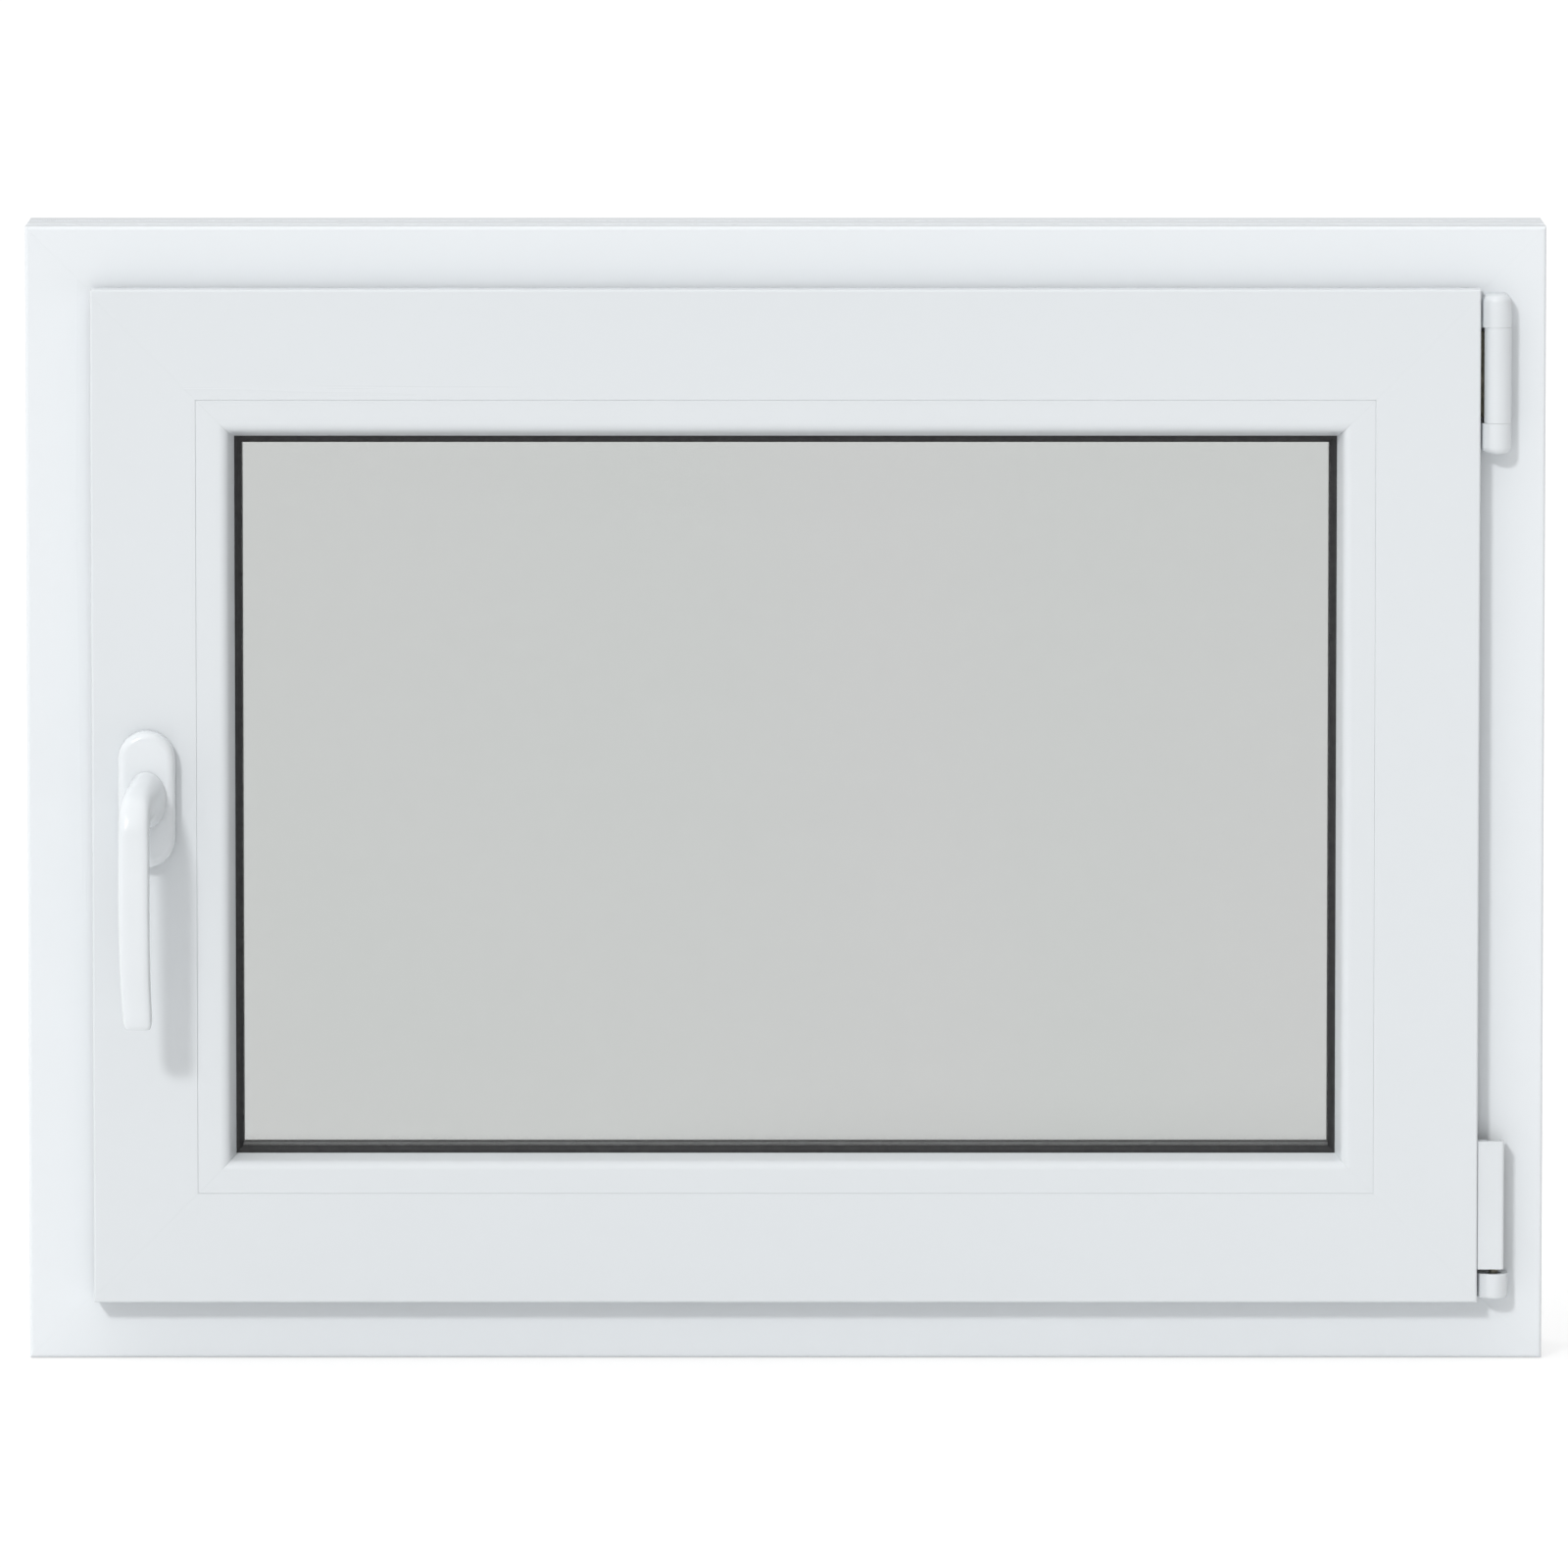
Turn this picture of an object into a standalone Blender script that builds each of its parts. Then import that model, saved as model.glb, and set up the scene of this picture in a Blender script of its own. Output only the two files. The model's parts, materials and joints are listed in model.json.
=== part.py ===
"""A white tilt and turn casement window, 800 x 600 mm, as an assembly of its separate pieces.

Dimensions are written in millimetres and become metres when a mesh is made. X runs to the right as
seen from the room, Y runs from the room to the outside, and Z is up. The origin is on the underside
of the frame, at the middle of its length and depth.

A section is drawn with two numbers: u, the distance in from the frame's outer edge, and y, the depth.
The same section then serves the head, the sill and both jambs.
"""

import math

import bmesh
import bpy
from mathutils import Matrix, Vector
from mathutils.geometry import tessellate_polygon

MM = 0.001

# Frame
FRAME_WIDTH = 800.0
FRAME_HEIGHT = 600.0
FRAME_DEPTH = 70.0
ROOM_FACE = -FRAME_DEPTH / 2
OUTSIDE_FACE = FRAME_DEPTH / 2
REBATE_U = 41.5
STOP_FACE = 17.0
STOP_END_U = 68.0

# Sash
STILE_EDGE_U = 35.0
RAIL_EDGE_U = 32.0
FLANGE_WALL = 3.0
SASH_ROOM_FACE = -53.0
FLANGE_BACK = -38.0
HARDWARE_U = 52.0
SASH_OUTSIDE_FACE = 13.5
GLAZING_U = 90.0
LIP_FACE = -8.0

# Glass unit and beads
BEAD_EDGE_U = 110.0
GLASS_EDGE_U = 95.0
GLASS_ROOM_FACE = -35.0
PANE_THICKNESS = 4.0
GLASS_GAP = 16.0

# Fits
GAP = 0.3
MITRE_GAP = 0.15 * math.sqrt(2)

# Hardware groove, measured across the sash edge
GROOVE_FRONT = -31.0
GROOVE_BACK = -19.0
GROOVE_MIDDLE = (GROOVE_FRONT + GROOVE_BACK) / 2
ROD_TOP_U = 54.7
ROD_THICKNESS = 2.2
ROD_HALF_WIDTH = 4.8
CAM_RADIUS = 3.4
CAM_END_U = 44.0

# Hinges: one vertical axis in front of the frame, at the right
HINGE_X = 374.0
HINGE_Y = -44.0
TILT_Z = 41.0
CAP_RADIUS = 7.5
CAP_WALL = 1.2
KNUCKLE_RADIUS = 5.6
PIN_RADIUS = 2.9

# Upper hinge, each as its lower and upper end
LOWER_CAP = (481.0, 497.3)
ARM_CAP = (497.6, 547.5)
UPPER_CAP = (547.8, 565.0)
LOWER_KNUCKLE = (484.0, 497.0)
ARM_KNUCKLE = (500.0, 545.0)
UPPER_KNUCKLE = (548.2, 562.0)

# Lower hinge, each as its lower and upper end
PIVOT_CAP = (33.5, 46.7)
CORNER_CAP = (49.4, 117.4)

# Stay arm
STAY_LENGTH = 250.0
STAY_Z = 551.7
STAY_THICKNESS = 2.4

# Handle and gearbox
HANDLE_X = -336.0
HANDLE_Z = 300.0
GEAR_TEETH = 11
GEAR_MODULE = 1.5
GEAR_PITCH_RADIUS = GEAR_TEETH * GEAR_MODULE / 2
TOOTH_TOP = 0.95
TOOTH_DEPTH = 2.05
TOOTH_PITCH = math.pi * GEAR_MODULE
ROD_TRAVEL = math.pi * GEAR_PITCH_RADIUS
RACK_BAR = 1.2
SPINDLE_SIZE = 7.0
SCREW_SPACING = 43.0
ROSETTE_FRONT = -64.5

# The keeps and cams of the three locking points
HANDLE_SIDE_CAM_Z = 440.0
TOP_CAM_X = -100.0
BOTTOM_CAM_X = -100.0

# Bodies that move together: name, the body it hangs from, and its pivot
BODIES = {
    "frame": (None, (0.0, 0.0, 0.0)),
    "carrier": ("frame", (HINGE_X, HINGE_Y, TILT_Z)),
    "stay": ("carrier", (HINGE_X, HINGE_Y, STAY_Z)),
    "sash": ("carrier", (HINGE_X, HINGE_Y, TILT_Z)),
    "handle": ("sash", (HANDLE_X, SASH_ROOM_FACE, HANDLE_Z)),
    "drive_rod": ("sash", (-FRAME_WIDTH / 2 + ROD_TOP_U, GROOVE_MIDDLE, HANDLE_Z)),
    "top_rod": ("sash", (TOP_CAM_X, GROOVE_MIDDLE, FRAME_HEIGHT - ROD_TOP_U)),
    "bottom_rod": ("sash", (BOTTOM_CAM_X, GROOVE_MIDDLE, ROD_TOP_U)),
}

# Finish: colour, roughness, metallic, alpha
FINISHES = {
    "upvc_white": ((0.80, 0.82, 0.84), 0.32, 0.0, 1.0),
    "cap_white": ((0.79, 0.81, 0.83), 0.38, 0.0, 1.0),
    "handle_white": ((0.82, 0.84, 0.86), 0.25, 0.0, 1.0),
    "seal_black": ((0.02, 0.02, 0.022), 0.6, 0.0, 1.0),
    "spacer_black": ((0.03, 0.03, 0.032), 0.5, 0.0, 1.0),
    "glass": ((0.80, 0.84, 0.83), 0.03, 0.0, 0.35),
    "zinc": ((0.62, 0.63, 0.64), 0.35, 1.0, 1.0),
    "galvanised": ((0.50, 0.52, 0.54), 0.50, 1.0, 1.0),
    "block_grey": ((0.25, 0.26, 0.27), 0.55, 0.0, 1.0),
}


def clear_scene():
    for obj in list(bpy.data.objects):
        bpy.data.objects.remove(obj, do_unlink=True)


def make_finishes():
    for name, (colour, roughness, metallic, alpha) in FINISHES.items():
        material = bpy.data.materials.new(name)
        material.use_nodes = True
        shader = material.node_tree.nodes["Principled BSDF"]
        shader.inputs["Base Color"].default_value = (*colour, 1.0)
        shader.inputs["Roughness"].default_value = roughness
        shader.inputs["Metallic"].default_value = metallic
        shader.inputs["Alpha"].default_value = alpha


def make_bodies():
    """An empty on each joint's axis, which the pieces of that body hang from."""
    for name, (parent, pivot) in BODIES.items():
        empty = bpy.data.objects.new("pivot_" + name, None)
        empty.empty_display_size = 20 * MM
        here = Vector(pivot)
        if parent:
            empty.parent = bpy.data.objects["pivot_" + parent]
            here = here - Vector(BODIES[parent][1])
        empty.location = here * MM
        bpy.context.scene.collection.objects.link(empty)


def add_mesh(name, shape, pivot):
    """A mesh object whose points are held relative to the pivot."""
    points, faces = shape
    builder = bmesh.new()
    corners = [builder.verts.new((Vector(point) - pivot) * MM) for point in points]
    for face in faces:
        builder.faces.new([corners[index] for index in face])
    bmesh.ops.recalc_face_normals(builder, faces=builder.faces)
    mesh = bpy.data.meshes.new(name)
    builder.to_mesh(mesh)
    builder.free()
    obj = bpy.data.objects.new(name, mesh)
    bpy.context.scene.collection.objects.link(obj)
    return obj


def make_piece(name, body, finish, shape, smooth=False):
    pivot = Vector(BODIES[body][1])
    obj = add_mesh(name, shape, pivot)
    obj.parent = bpy.data.objects["pivot_" + body]
    obj.data.materials.append(bpy.data.materials[finish])
    if smooth:
        obj.data.shade_smooth()
        obj.data.set_sharp_from_angle(angle=math.radians(35))
    return obj


def combine(obj, shapes, operation, solver="EXACT"):
    """Joins shapes to a piece with UNION, or takes them away with DIFFERENCE."""
    body = obj.parent.name[len("pivot_") :]
    pivot = Vector(BODIES[body][1])
    for number, shape in enumerate(shapes):
        helper = add_mesh(f"{obj.name}_{operation.lower()}_{number}", shape, pivot)
        helper.parent = obj.parent
        helper.hide_render = True
        helper.display_type = "WIRE"
        modifier = obj.modifiers.new(helper.name, "BOOLEAN")
        modifier.operation = operation
        modifier.solver = solver
        modifier.object = helper


def rounded(points, steps=3):
    """An outline whose corners given as (a, b, radius) become arcs."""
    outline = []
    for index, point in enumerate(points):
        here = Vector(point[:2])
        radius = point[2] if len(point) > 2 else 0.0
        if not radius:
            outline.append((here.x, here.y))
            continue
        before = (Vector(points[index - 1][:2]) - here).normalized()
        after = (Vector(points[(index + 1) % len(points)][:2]) - here).normalized()
        half_angle = before.angle(after) / 2
        centre = here + (before + after).normalized() * radius / math.sin(half_angle)
        first = here + before * radius / math.tan(half_angle) - centre
        last = here + after * radius / math.tan(half_angle) - centre
        turn = first.angle_signed(last)
        for step in range(steps + 1):
            spoke = first.copy()
            spoke.rotate(Matrix.Rotation(-turn * step / steps, 2))
            outline.append((centre.x + spoke.x, centre.y + spoke.y))
    return outline


def rectangle(a_low, a_high, b_low, b_high, radius=0.0, steps=3):
    corners = [(a_low, b_low), (a_high, b_low), (a_high, b_high), (a_low, b_high)]
    return rounded([(a, b, radius) for a, b in corners], steps)


def circle(a, b, radius, sides=20):
    return arc(a, b, radius, 0.0, 360.0 * (sides - 1) / sides, sides - 1)


def arc(a, b, radius, start, end, steps):
    angles = [math.radians(start + (end - start) * step / steps) for step in range(steps + 1)]
    return [(a + radius * math.cos(angle), b + radius * math.sin(angle)) for angle in angles]


def stadium(a, b, half_width, half_height, steps=10):
    """An upright slot shape with round ends."""
    straight = half_height - half_width
    top = arc(a, b + straight, half_width, 0.0, 180.0, steps)
    bottom = arc(a, b - straight, half_width, 180.0, 360.0, steps)
    return top + bottom


def extruded(outline, near, far, holes=()):
    """A prism with holes. near and far turn a point of the outline into one in space."""
    loops = [outline, *holes]
    flat = [point for loop in loops for point in loop]
    count = len(flat)
    points = [near(*point) for point in flat] + [far(*point) for point in flat]
    faces = []
    start = 0
    for loop in loops:
        for index in range(len(loop)):
            following = start + (index + 1) % len(loop)
            faces.append((start + index, following, count + following, count + start + index))
        start += len(loop)
    for triangle in tessellate_polygon([[Vector((a, b, 0)) for a, b in loop] for loop in loops]):
        faces.append(tuple(triangle))
        faces.append(tuple(count + index for index in reversed(triangle)))
    return points, faces


def along_x(outline, low, high, holes=()):
    """A prism along X from an outline of (y, z)."""
    return extruded(outline, lambda y, z: (low, y, z), lambda y, z: (high, y, z), holes)


def along_y(outline, low, high, holes=()):
    """A prism along Y from an outline of (x, z)."""
    return extruded(outline, lambda x, z: (x, low, z), lambda x, z: (x, high, z), holes)


def along_z(outline, low, high, holes=()):
    """A prism along Z from an outline of (x, y)."""
    return extruded(outline, lambda x, y: (x, y, low), lambda x, y: (x, y, high), holes)


def box(low, high):
    return along_z(rectangle(low[0], high[0], low[1], high[1]), low[2], high[2])


def merged(shapes):
    """Several shapes as one mesh, for a cutter with many teeth."""
    points = []
    faces = []
    for more_points, more_faces in shapes:
        start = len(points)
        points += more_points
        faces += [tuple(start + index for index in face) for face in more_faces]
    return points, faces


def turned(profile, place, sides=20):
    """A turned solid. The profile of (radius, height) starts and ends on the axis."""
    points = [place(0.0, 0.0, profile[0][1]), place(0.0, 0.0, profile[-1][1])]
    rims = []
    for radius, height in profile[1:-1]:
        rims.append(len(points))
        for x, y in circle(0.0, 0.0, radius, sides):
            points.append(place(x, y, height))
    faces = []
    for side in range(sides):
        following = (side + 1) % sides
        faces.append((0, rims[0] + following, rims[0] + side))
        faces.append((1, rims[-1] + side, rims[-1] + following))
        for lower, upper in zip(rims, rims[1:]):
            faces.append((lower + side, lower + following, upper + following, upper + side))
    return points, faces


def side_place(side):
    """Turns (u, y, s) into a point in space, with s along one side of the frame."""
    half_width = FRAME_WIDTH / 2
    return {
        "head": lambda u, y, s: (s, y, FRAME_HEIGHT - u),
        "sill": lambda u, y, s: (-s, y, u),
        "handle": lambda u, y, s: (-half_width + u, y, FRAME_HEIGHT / 2 + s),
        "hinge": lambda u, y, s: (half_width - u, y, FRAME_HEIGHT / 2 - s),
    }[side]


def side_half_length(side):
    return (FRAME_WIDTH if side in ("head", "sill") else FRAME_HEIGHT) / 2


def mitred(side, outline, holes=()):
    """A length of profile along one side, its ends cut at 45 degrees."""
    place = side_place(side)
    half = side_half_length(side) - MITRE_GAP
    return extruded(
        outline,
        lambda u, y: place(u, y, u - half),
        lambda u, y: place(u, y, half - u),
        holes,
    )


def square_cut(side, outline, half_length):
    """A length of profile along one side, its ends cut square."""
    place = side_place(side)
    return extruded(
        outline,
        lambda u, y: place(u, y, -half_length),
        lambda u, y: place(u, y, half_length),
    )


def ring(outline):
    """A section run all the way round the window."""
    points = []
    for u, y in outline:
        across = FRAME_WIDTH / 2 - u
        for x, z in ((-across, u), (across, u), (across, FRAME_HEIGHT - u), (-across, FRAME_HEIGHT - u)):
            points.append((x, y, z))
    faces = []
    for index in range(len(outline)):
        start = 4 * index
        following = 4 * ((index + 1) % len(outline))
        for corner in range(4):
            other = (corner + 1) % 4
            faces.append((start + corner, start + other, following + other, following + corner))
    return points, faces


def open_ring(outline, z_low, z_high):
    """The same run, broken on the hinge side between two heights."""
    loops = []
    for u, y in outline:
        across = FRAME_WIDTH / 2 - u
        top = FRAME_HEIGHT - u
        route = [(across, z_high), (across, top), (-across, top)]
        route += [(-across, u), (across, u), (across, z_low)]
        loops.append([(x, y, z) for x, z in route])
    points = [point for loop in loops for point in loop]
    stops = len(loops[0])
    faces = []
    for index in range(len(outline)):
        start = stops * index
        following = stops * ((index + 1) % len(outline))
        for stop in range(stops - 1):
            faces.append((start + stop, start + stop + 1, following + stop + 1, following + stop))
    for triangle in tessellate_polygon([[Vector((u, y, 0)) for u, y in outline]]):
        faces.append(tuple(stops * index for index in triangle))
        faces.append(tuple(stops * index + stops - 1 for index in reversed(triangle)))
    return points, faces


def channel(u_low, u_high, y_low, y_high, wall):
    """A folded steel channel, open towards the middle of the window."""
    return [
        (u_low, y_low),
        (u_high, y_low),
        (u_high, y_low + wall),
        (u_low + wall, y_low + wall),
        (u_low + wall, y_high - wall),
        (u_high, y_high - wall),
        (u_high, y_high),
        (u_low, y_high),
    ]


def frame_section():
    outline = rounded(
        [
            (0.0, ROOM_FACE, 1.4),
            (REBATE_U, ROOM_FACE, 2.0),
            (REBATE_U, STOP_FACE),
            (59.0, STOP_FACE),
            (59.0, 20.0),
            (62.0, 20.0),
            (62.0, STOP_FACE),
            (66.5, STOP_FACE),
            (STOP_END_U, 19.0),
            (66.0, OUTSIDE_FACE, 1.5),
            (0.0, OUTSIDE_FACE, 1.4),
            (0.0, 14.0),
            (2.5, 14.0),
            (2.5, 8.0),
            (0.0, 8.0),
            (0.0, -14.0),
            (2.5, -14.0),
            (2.5, -20.0),
            (0.0, -20.0),
        ]
    )
    room_chamber = rectangle(3.0, 38.5, -32.0, -24.0)
    steel_chamber = rectangle(6.0, 38.5, -21.0, 14.0)
    outside_chamber = rectangle(3.0, 38.5, 17.0, 32.0)
    stop_chamber = rectangle(41.5, 63.5, 23.0, 32.0)
    return outline, [room_chamber, steel_chamber, outside_chamber, stop_chamber]


def sash_section(edge_u):
    outline = rounded(
        [
            (edge_u, SASH_ROOM_FACE, 2.5),
            (GLAZING_U, SASH_ROOM_FACE, 0.8),
            (GLAZING_U, -44.2),
            (87.0, -44.2),
            (87.0, -40.8),
            (GLAZING_U, -40.8),
            (GLAZING_U, LIP_FACE),
            (111.0, LIP_FACE),
            (112.0, -6.0),
            (108.5, SASH_OUTSIDE_FACE, 1.5),
            (HARDWARE_U, SASH_OUTSIDE_FACE, 1.0),
            (HARDWARE_U, -16.8),
            (54.8, -16.8),
            (54.8, GROOVE_BACK),
            (66.0, GROOVE_BACK),
            (66.0, GROOVE_FRONT),
            (54.8, GROOVE_FRONT),
            (54.8, -33.2),
            (HARDWARE_U, -33.2),
            (HARDWARE_U, FLANGE_BACK),
            (edge_u, FLANGE_BACK, 1.0),
        ]
    )
    flange_chamber = rectangle(edge_u + FLANGE_WALL, 84.0, -50.2, -41.0)
    gearbox_chamber = rectangle(69.0, 87.0, -38.0, -18.0)
    steel_chamber = rectangle(55.5, 87.0, -14.0, 10.5)
    lip_chamber = [(90.5, -5.0), (109.0, -5.0), (106.0, 10.5), (90.5, 10.5)]
    return outline, [flange_chamber, gearbox_chamber, steel_chamber, lip_chamber]


def build_frame():
    outline, chambers = frame_section()
    steel = channel(6.6, 37.9, -20.4, 13.4, 1.5)
    seal = [(59.4, 19.6), (59.4, 16.6), (57.0, 16.6), (58.0, 14.1), (63.0, 14.1), (64.5, 16.6)]
    seal += [(61.6, 16.6), (61.6, 19.6)]
    names = {"head": "frame_head", "sill": "frame_sill"}
    names.update({"handle": "frame_jamb_handle_side", "hinge": "frame_jamb_hinge_side"})
    for side, name in names.items():
        make_piece(name, "frame", "upvc_white", mitred(side, outline, chambers), smooth=True)
        steel_half_length = side_half_length(side) - 42.0
        steel_name = name.replace("frame_", "frame_steel_")
        make_piece(steel_name, "frame", "galvanised", square_cut(side, steel, steel_half_length))
    make_piece("frame_seal", "frame", "seal_black", ring(seal))


def build_sash_members():
    steel = channel(56.1, 86.4, -13.4, 9.9, 1.5)
    names = {"head": "sash_top_rail", "sill": "sash_bottom_rail"}
    names.update({"handle": "sash_stile_handle_side", "hinge": "sash_stile_hinge_side"})
    for side, name in names.items():
        is_rail = side in ("head", "sill")
        outline, chambers = sash_section(RAIL_EDGE_U if is_rail else STILE_EDGE_U)
        member = make_piece(name, "sash", "upvc_white", mitred(side, outline, chambers), smooth=True)
        if is_rail:
            combine(member, rail_tips(), "DIFFERENCE", "MANIFOLD")
        if side == "handle":
            combine(member, gearbox_cuts(), "DIFFERENCE", "MANIFOLD")
        steel_half_length = side_half_length(side) - 90.0
        steel_name = name.replace("sash_", "sash_steel_")
        make_piece(steel_name, "sash", "galvanised", square_cut(side, steel, steel_half_length))
    flap = [(36.8, -37.7), (41.0, -37.7), (40.0, -36.0), (37.6, -36.0)]
    make_piece("sash_seal", "sash", "seal_black", open_ring(flap, 52.0, 556.0))
    across = side_place("hinge")
    middle = extruded(
        flap,
        lambda u, y: across(u, y, FRAME_HEIGHT / 2 - 118.0),
        lambda u, y: across(u, y, FRAME_HEIGHT / 2 - 496.0),
    )
    make_piece("sash_seal_between_hinges", "sash", "seal_black", middle)


def rail_tips():
    """What a rail's mitred ends have beyond the stiles, which stand less far out."""
    across = FRAME_WIDTH / 2 - STILE_EDGE_U
    front, back = SASH_ROOM_FACE - 1.0, FLANGE_BACK + 1.0
    left = box((-across - 10.0, front, 0.0), (-across, back, FRAME_HEIGHT))
    right = box((across, front, 0.0), (across + 10.0, back, FRAME_HEIGHT))
    return [left, right]


def gearbox_cuts():
    """The pocket for the gearbox, and the holes for the spindle and the two handle screws."""
    pocket = box((-335.0, -30.8, 248.0), (-330.0, -19.2, 352.0))
    cuts = [pocket]
    cuts.append(along_y(circle(HANDLE_X, HANDLE_Z, 6.5), -54.0, -29.0))
    for end in (-1, 1):
        screw_hole = circle(HANDLE_X, HANDLE_Z + end * SCREW_SPACING / 2, 3.0, 12)
        cuts.append(along_y(screw_hole, -54.0, -29.0))
    return cuts


def build_glazing():
    def pane(y_low):
        across = FRAME_WIDTH / 2 - GLASS_EDGE_U
        top = FRAME_HEIGHT - GLASS_EDGE_U
        return box((-across, y_low, GLASS_EDGE_U), (across, y_low + PANE_THICKNESS, top))

    room_pane_back = GLASS_ROOM_FACE + PANE_THICKNESS
    outside_pane_front = room_pane_back + GLASS_GAP
    make_piece("glass_pane_room", "sash", "glass", pane(GLASS_ROOM_FACE))
    make_piece("glass_pane_outside", "sash", "glass", pane(outside_pane_front))
    spacer = rectangle(97.0, 112.8, room_pane_back + GAP, outside_pane_front - GAP)
    make_piece("glass_spacer", "sash", "spacer_black", ring(spacer))

    bead_back = GLASS_ROOM_FACE - 3.6
    bead = rounded(
        [
            (GLAZING_U + GAP, SASH_ROOM_FACE + 0.5, 0.5),
            (106.2, SASH_ROOM_FACE + 0.1, 5.5),
            (BEAD_EDGE_U, bead_back),
            (93.0, bead_back),
            (93.0, -41.2),
            (87.4, -41.2),
            (87.4, -43.8),
            (GLAZING_U + GAP, -43.8),
        ]
    )
    bead_chamber = [(93.0, -50.2), (103.0, -50.2), (106.2, -41.4), (95.4, -41.4)]
    names = {"head": "bead_top", "sill": "bead_bottom"}
    names.update({"handle": "bead_handle_side", "hinge": "bead_hinge_side"})
    for side, name in names.items():
        make_piece(name, "sash", "upvc_white", mitred(side, bead, [bead_chamber]), smooth=True)

    lip = [(111.4, bead_back + GAP), (113.6, -36.2, 0.6), (113.2, -35.3)]
    room_seal = rounded([(98.0, bead_back + GAP), *lip, (98.0, -35.3)], 2)
    make_piece("glazing_seal_room", "sash", "seal_black", ring(room_seal))
    glass_back = outside_pane_front + PANE_THICKNESS
    outside_seal = rectangle(97.0, 113.4, glass_back + GAP, LIP_FACE - GAP)
    make_piece("glazing_seal_outside", "sash", "seal_black", ring(outside_seal))
    for name, middle in (("setting_block_handle_side", -210.0), ("setting_block_hinge_side", 210.0)):
        low = (middle - 50.0, GLASS_ROOM_FACE + 0.5, GLAZING_U + GAP)
        high = (middle + 50.0, glass_back - 0.5, GLASS_EDGE_U - GAP)
        make_piece(name, "sash", "block_grey", box(low, high))


def keep_shape(side, cam_s, lip_direction, lip_start):
    """A striker plate on the frame's rebate, and the lip that its cam runs behind."""
    place = side_place(side)
    plate_top = REBATE_U + 1.8
    ends = sorted((cam_s - lip_direction * 45.0, cam_s + lip_direction * (lip_start + 24.0)))
    lip_ends = sorted((cam_s + lip_direction * lip_start, cam_s + lip_direction * (lip_start + 22.0)))
    plate = rectangle(REBATE_U + GAP, plate_top, -33.0, -15.0)
    lip = rectangle(REBATE_U + 1.0, 48.5, -33.0, -30.2)

    def run(section, stations):
        return extruded(
            section,
            lambda u, y: place(u, y, stations[0]),
            lambda u, y: place(u, y, stations[1]),
        )

    return run(plate, ends), run(lip, lip_ends)


def build_keeps():
    """Each lip starts just past its cam, so that no handle position blocks the sash."""
    clear_of_cam = CAM_RADIUS + 1.2
    handle_cam_s = HANDLE_SIDE_CAM_Z - FRAME_HEIGHT / 2
    keeps = {
        "keep_handle_side": ("handle", handle_cam_s, 1, clear_of_cam),
        "keep_top": ("head", TOP_CAM_X, 1, clear_of_cam),
        "keep_tilt_bottom": ("sill", -BOTTOM_CAM_X, -1, clear_of_cam + ROD_TRAVEL),
    }
    for name, (side, cam_s, direction, start) in keeps.items():
        plate, lip = keep_shape(side, cam_s, direction, start)
        keep = make_piece(name, "frame", "zinc", plate)
        combine(keep, [lip], "UNION")


def cap_outline(radius):
    """The plan of a hinge cap: round towards the room, straight back to the frame."""
    front = arc(HINGE_X, HINGE_Y, radius, 180.0, 360.0, 12)
    return [*front, (HINGE_X + radius, ROOM_FACE - GAP), (HINGE_X - radius, ROOM_FACE - GAP)]


def cap_hollow():
    """The plan of what is cut out of a cap, drawn past its back so that the cap is open there."""
    inner = cap_outline(CAP_RADIUS - CAP_WALL)
    return [(x, y + (1.0 if y > HINGE_Y + 1.0 else 0.0)) for x, y in inner]


def build_upper_hinge():
    plate_back = ROOM_FACE - GAP
    plate_front = plate_back - 0.9
    left, right, strip_left = HINGE_X - KNUCKLE_RADIUS, HINGE_X + KNUCKLE_RADIUS, HINGE_X + 1.2
    bottom, top = LOWER_KNUCKLE[0], UPPER_KNUCKLE[1]
    plate = [(left, bottom), (right, bottom), (right, top), (left, top)]
    plate += [(left, UPPER_KNUCKLE[0]), (strip_left, UPPER_KNUCKLE[0])]
    plate += [(strip_left, LOWER_KNUCKLE[1]), (left, LOWER_KNUCKLE[1])]
    plate_shape = along_y(plate, plate_front, plate_back)
    bearing = make_piece("stay_bearing", "frame", "zinc", plate_shape, smooth=True)
    knuckles = []
    for low, high in (LOWER_KNUCKLE, UPPER_KNUCKLE):
        outline = arc(HINGE_X, HINGE_Y, KNUCKLE_RADIUS, 180.0, 360.0, 8)
        outline += [(right, plate_back - 0.5), (left, plate_back - 0.5)]
        knuckles.append(along_z(outline, low, high))
    combine(bearing, knuckles, "UNION")
    bore = along_z(circle(HINGE_X, HINGE_Y, PIN_RADIUS + GAP), bottom - 4.0, top + 4.0)
    combine(bearing, [bore], "DIFFERENCE")

    foot = bottom + 0.5
    pin = [(0, foot), (2.5, foot), (PIN_RADIUS, foot + 0.5)]
    pin += [(PIN_RADIUS, top - 0.5), (2.5, top), (0, top)]
    shape = turned(pin, lambda x, y, h: (HINGE_X + x, HINGE_Y + y, h), 16)
    make_piece("stay_hinge_pin", "frame", "zinc", shape, smooth=True)

    outer = cap_outline(CAP_RADIUS)
    inner = cap_hollow()
    upper_shape = along_z(outer, *UPPER_CAP)
    upper = make_piece("stay_hinge_cap_upper", "frame", "cap_white", upper_shape, smooth=True)
    combine(upper, [along_z(inner, UPPER_CAP[0] - 1.8, UPPER_CAP[1] - 1.4)], "DIFFERENCE")
    lower_shape = along_z(outer, *LOWER_CAP)
    lower = make_piece("stay_hinge_cap_lower", "frame", "cap_white", lower_shape, smooth=True)
    combine(lower, [along_z(inner, LOWER_CAP[0] + 1.4, LOWER_CAP[1] + 1.7)], "DIFFERENCE")


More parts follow.
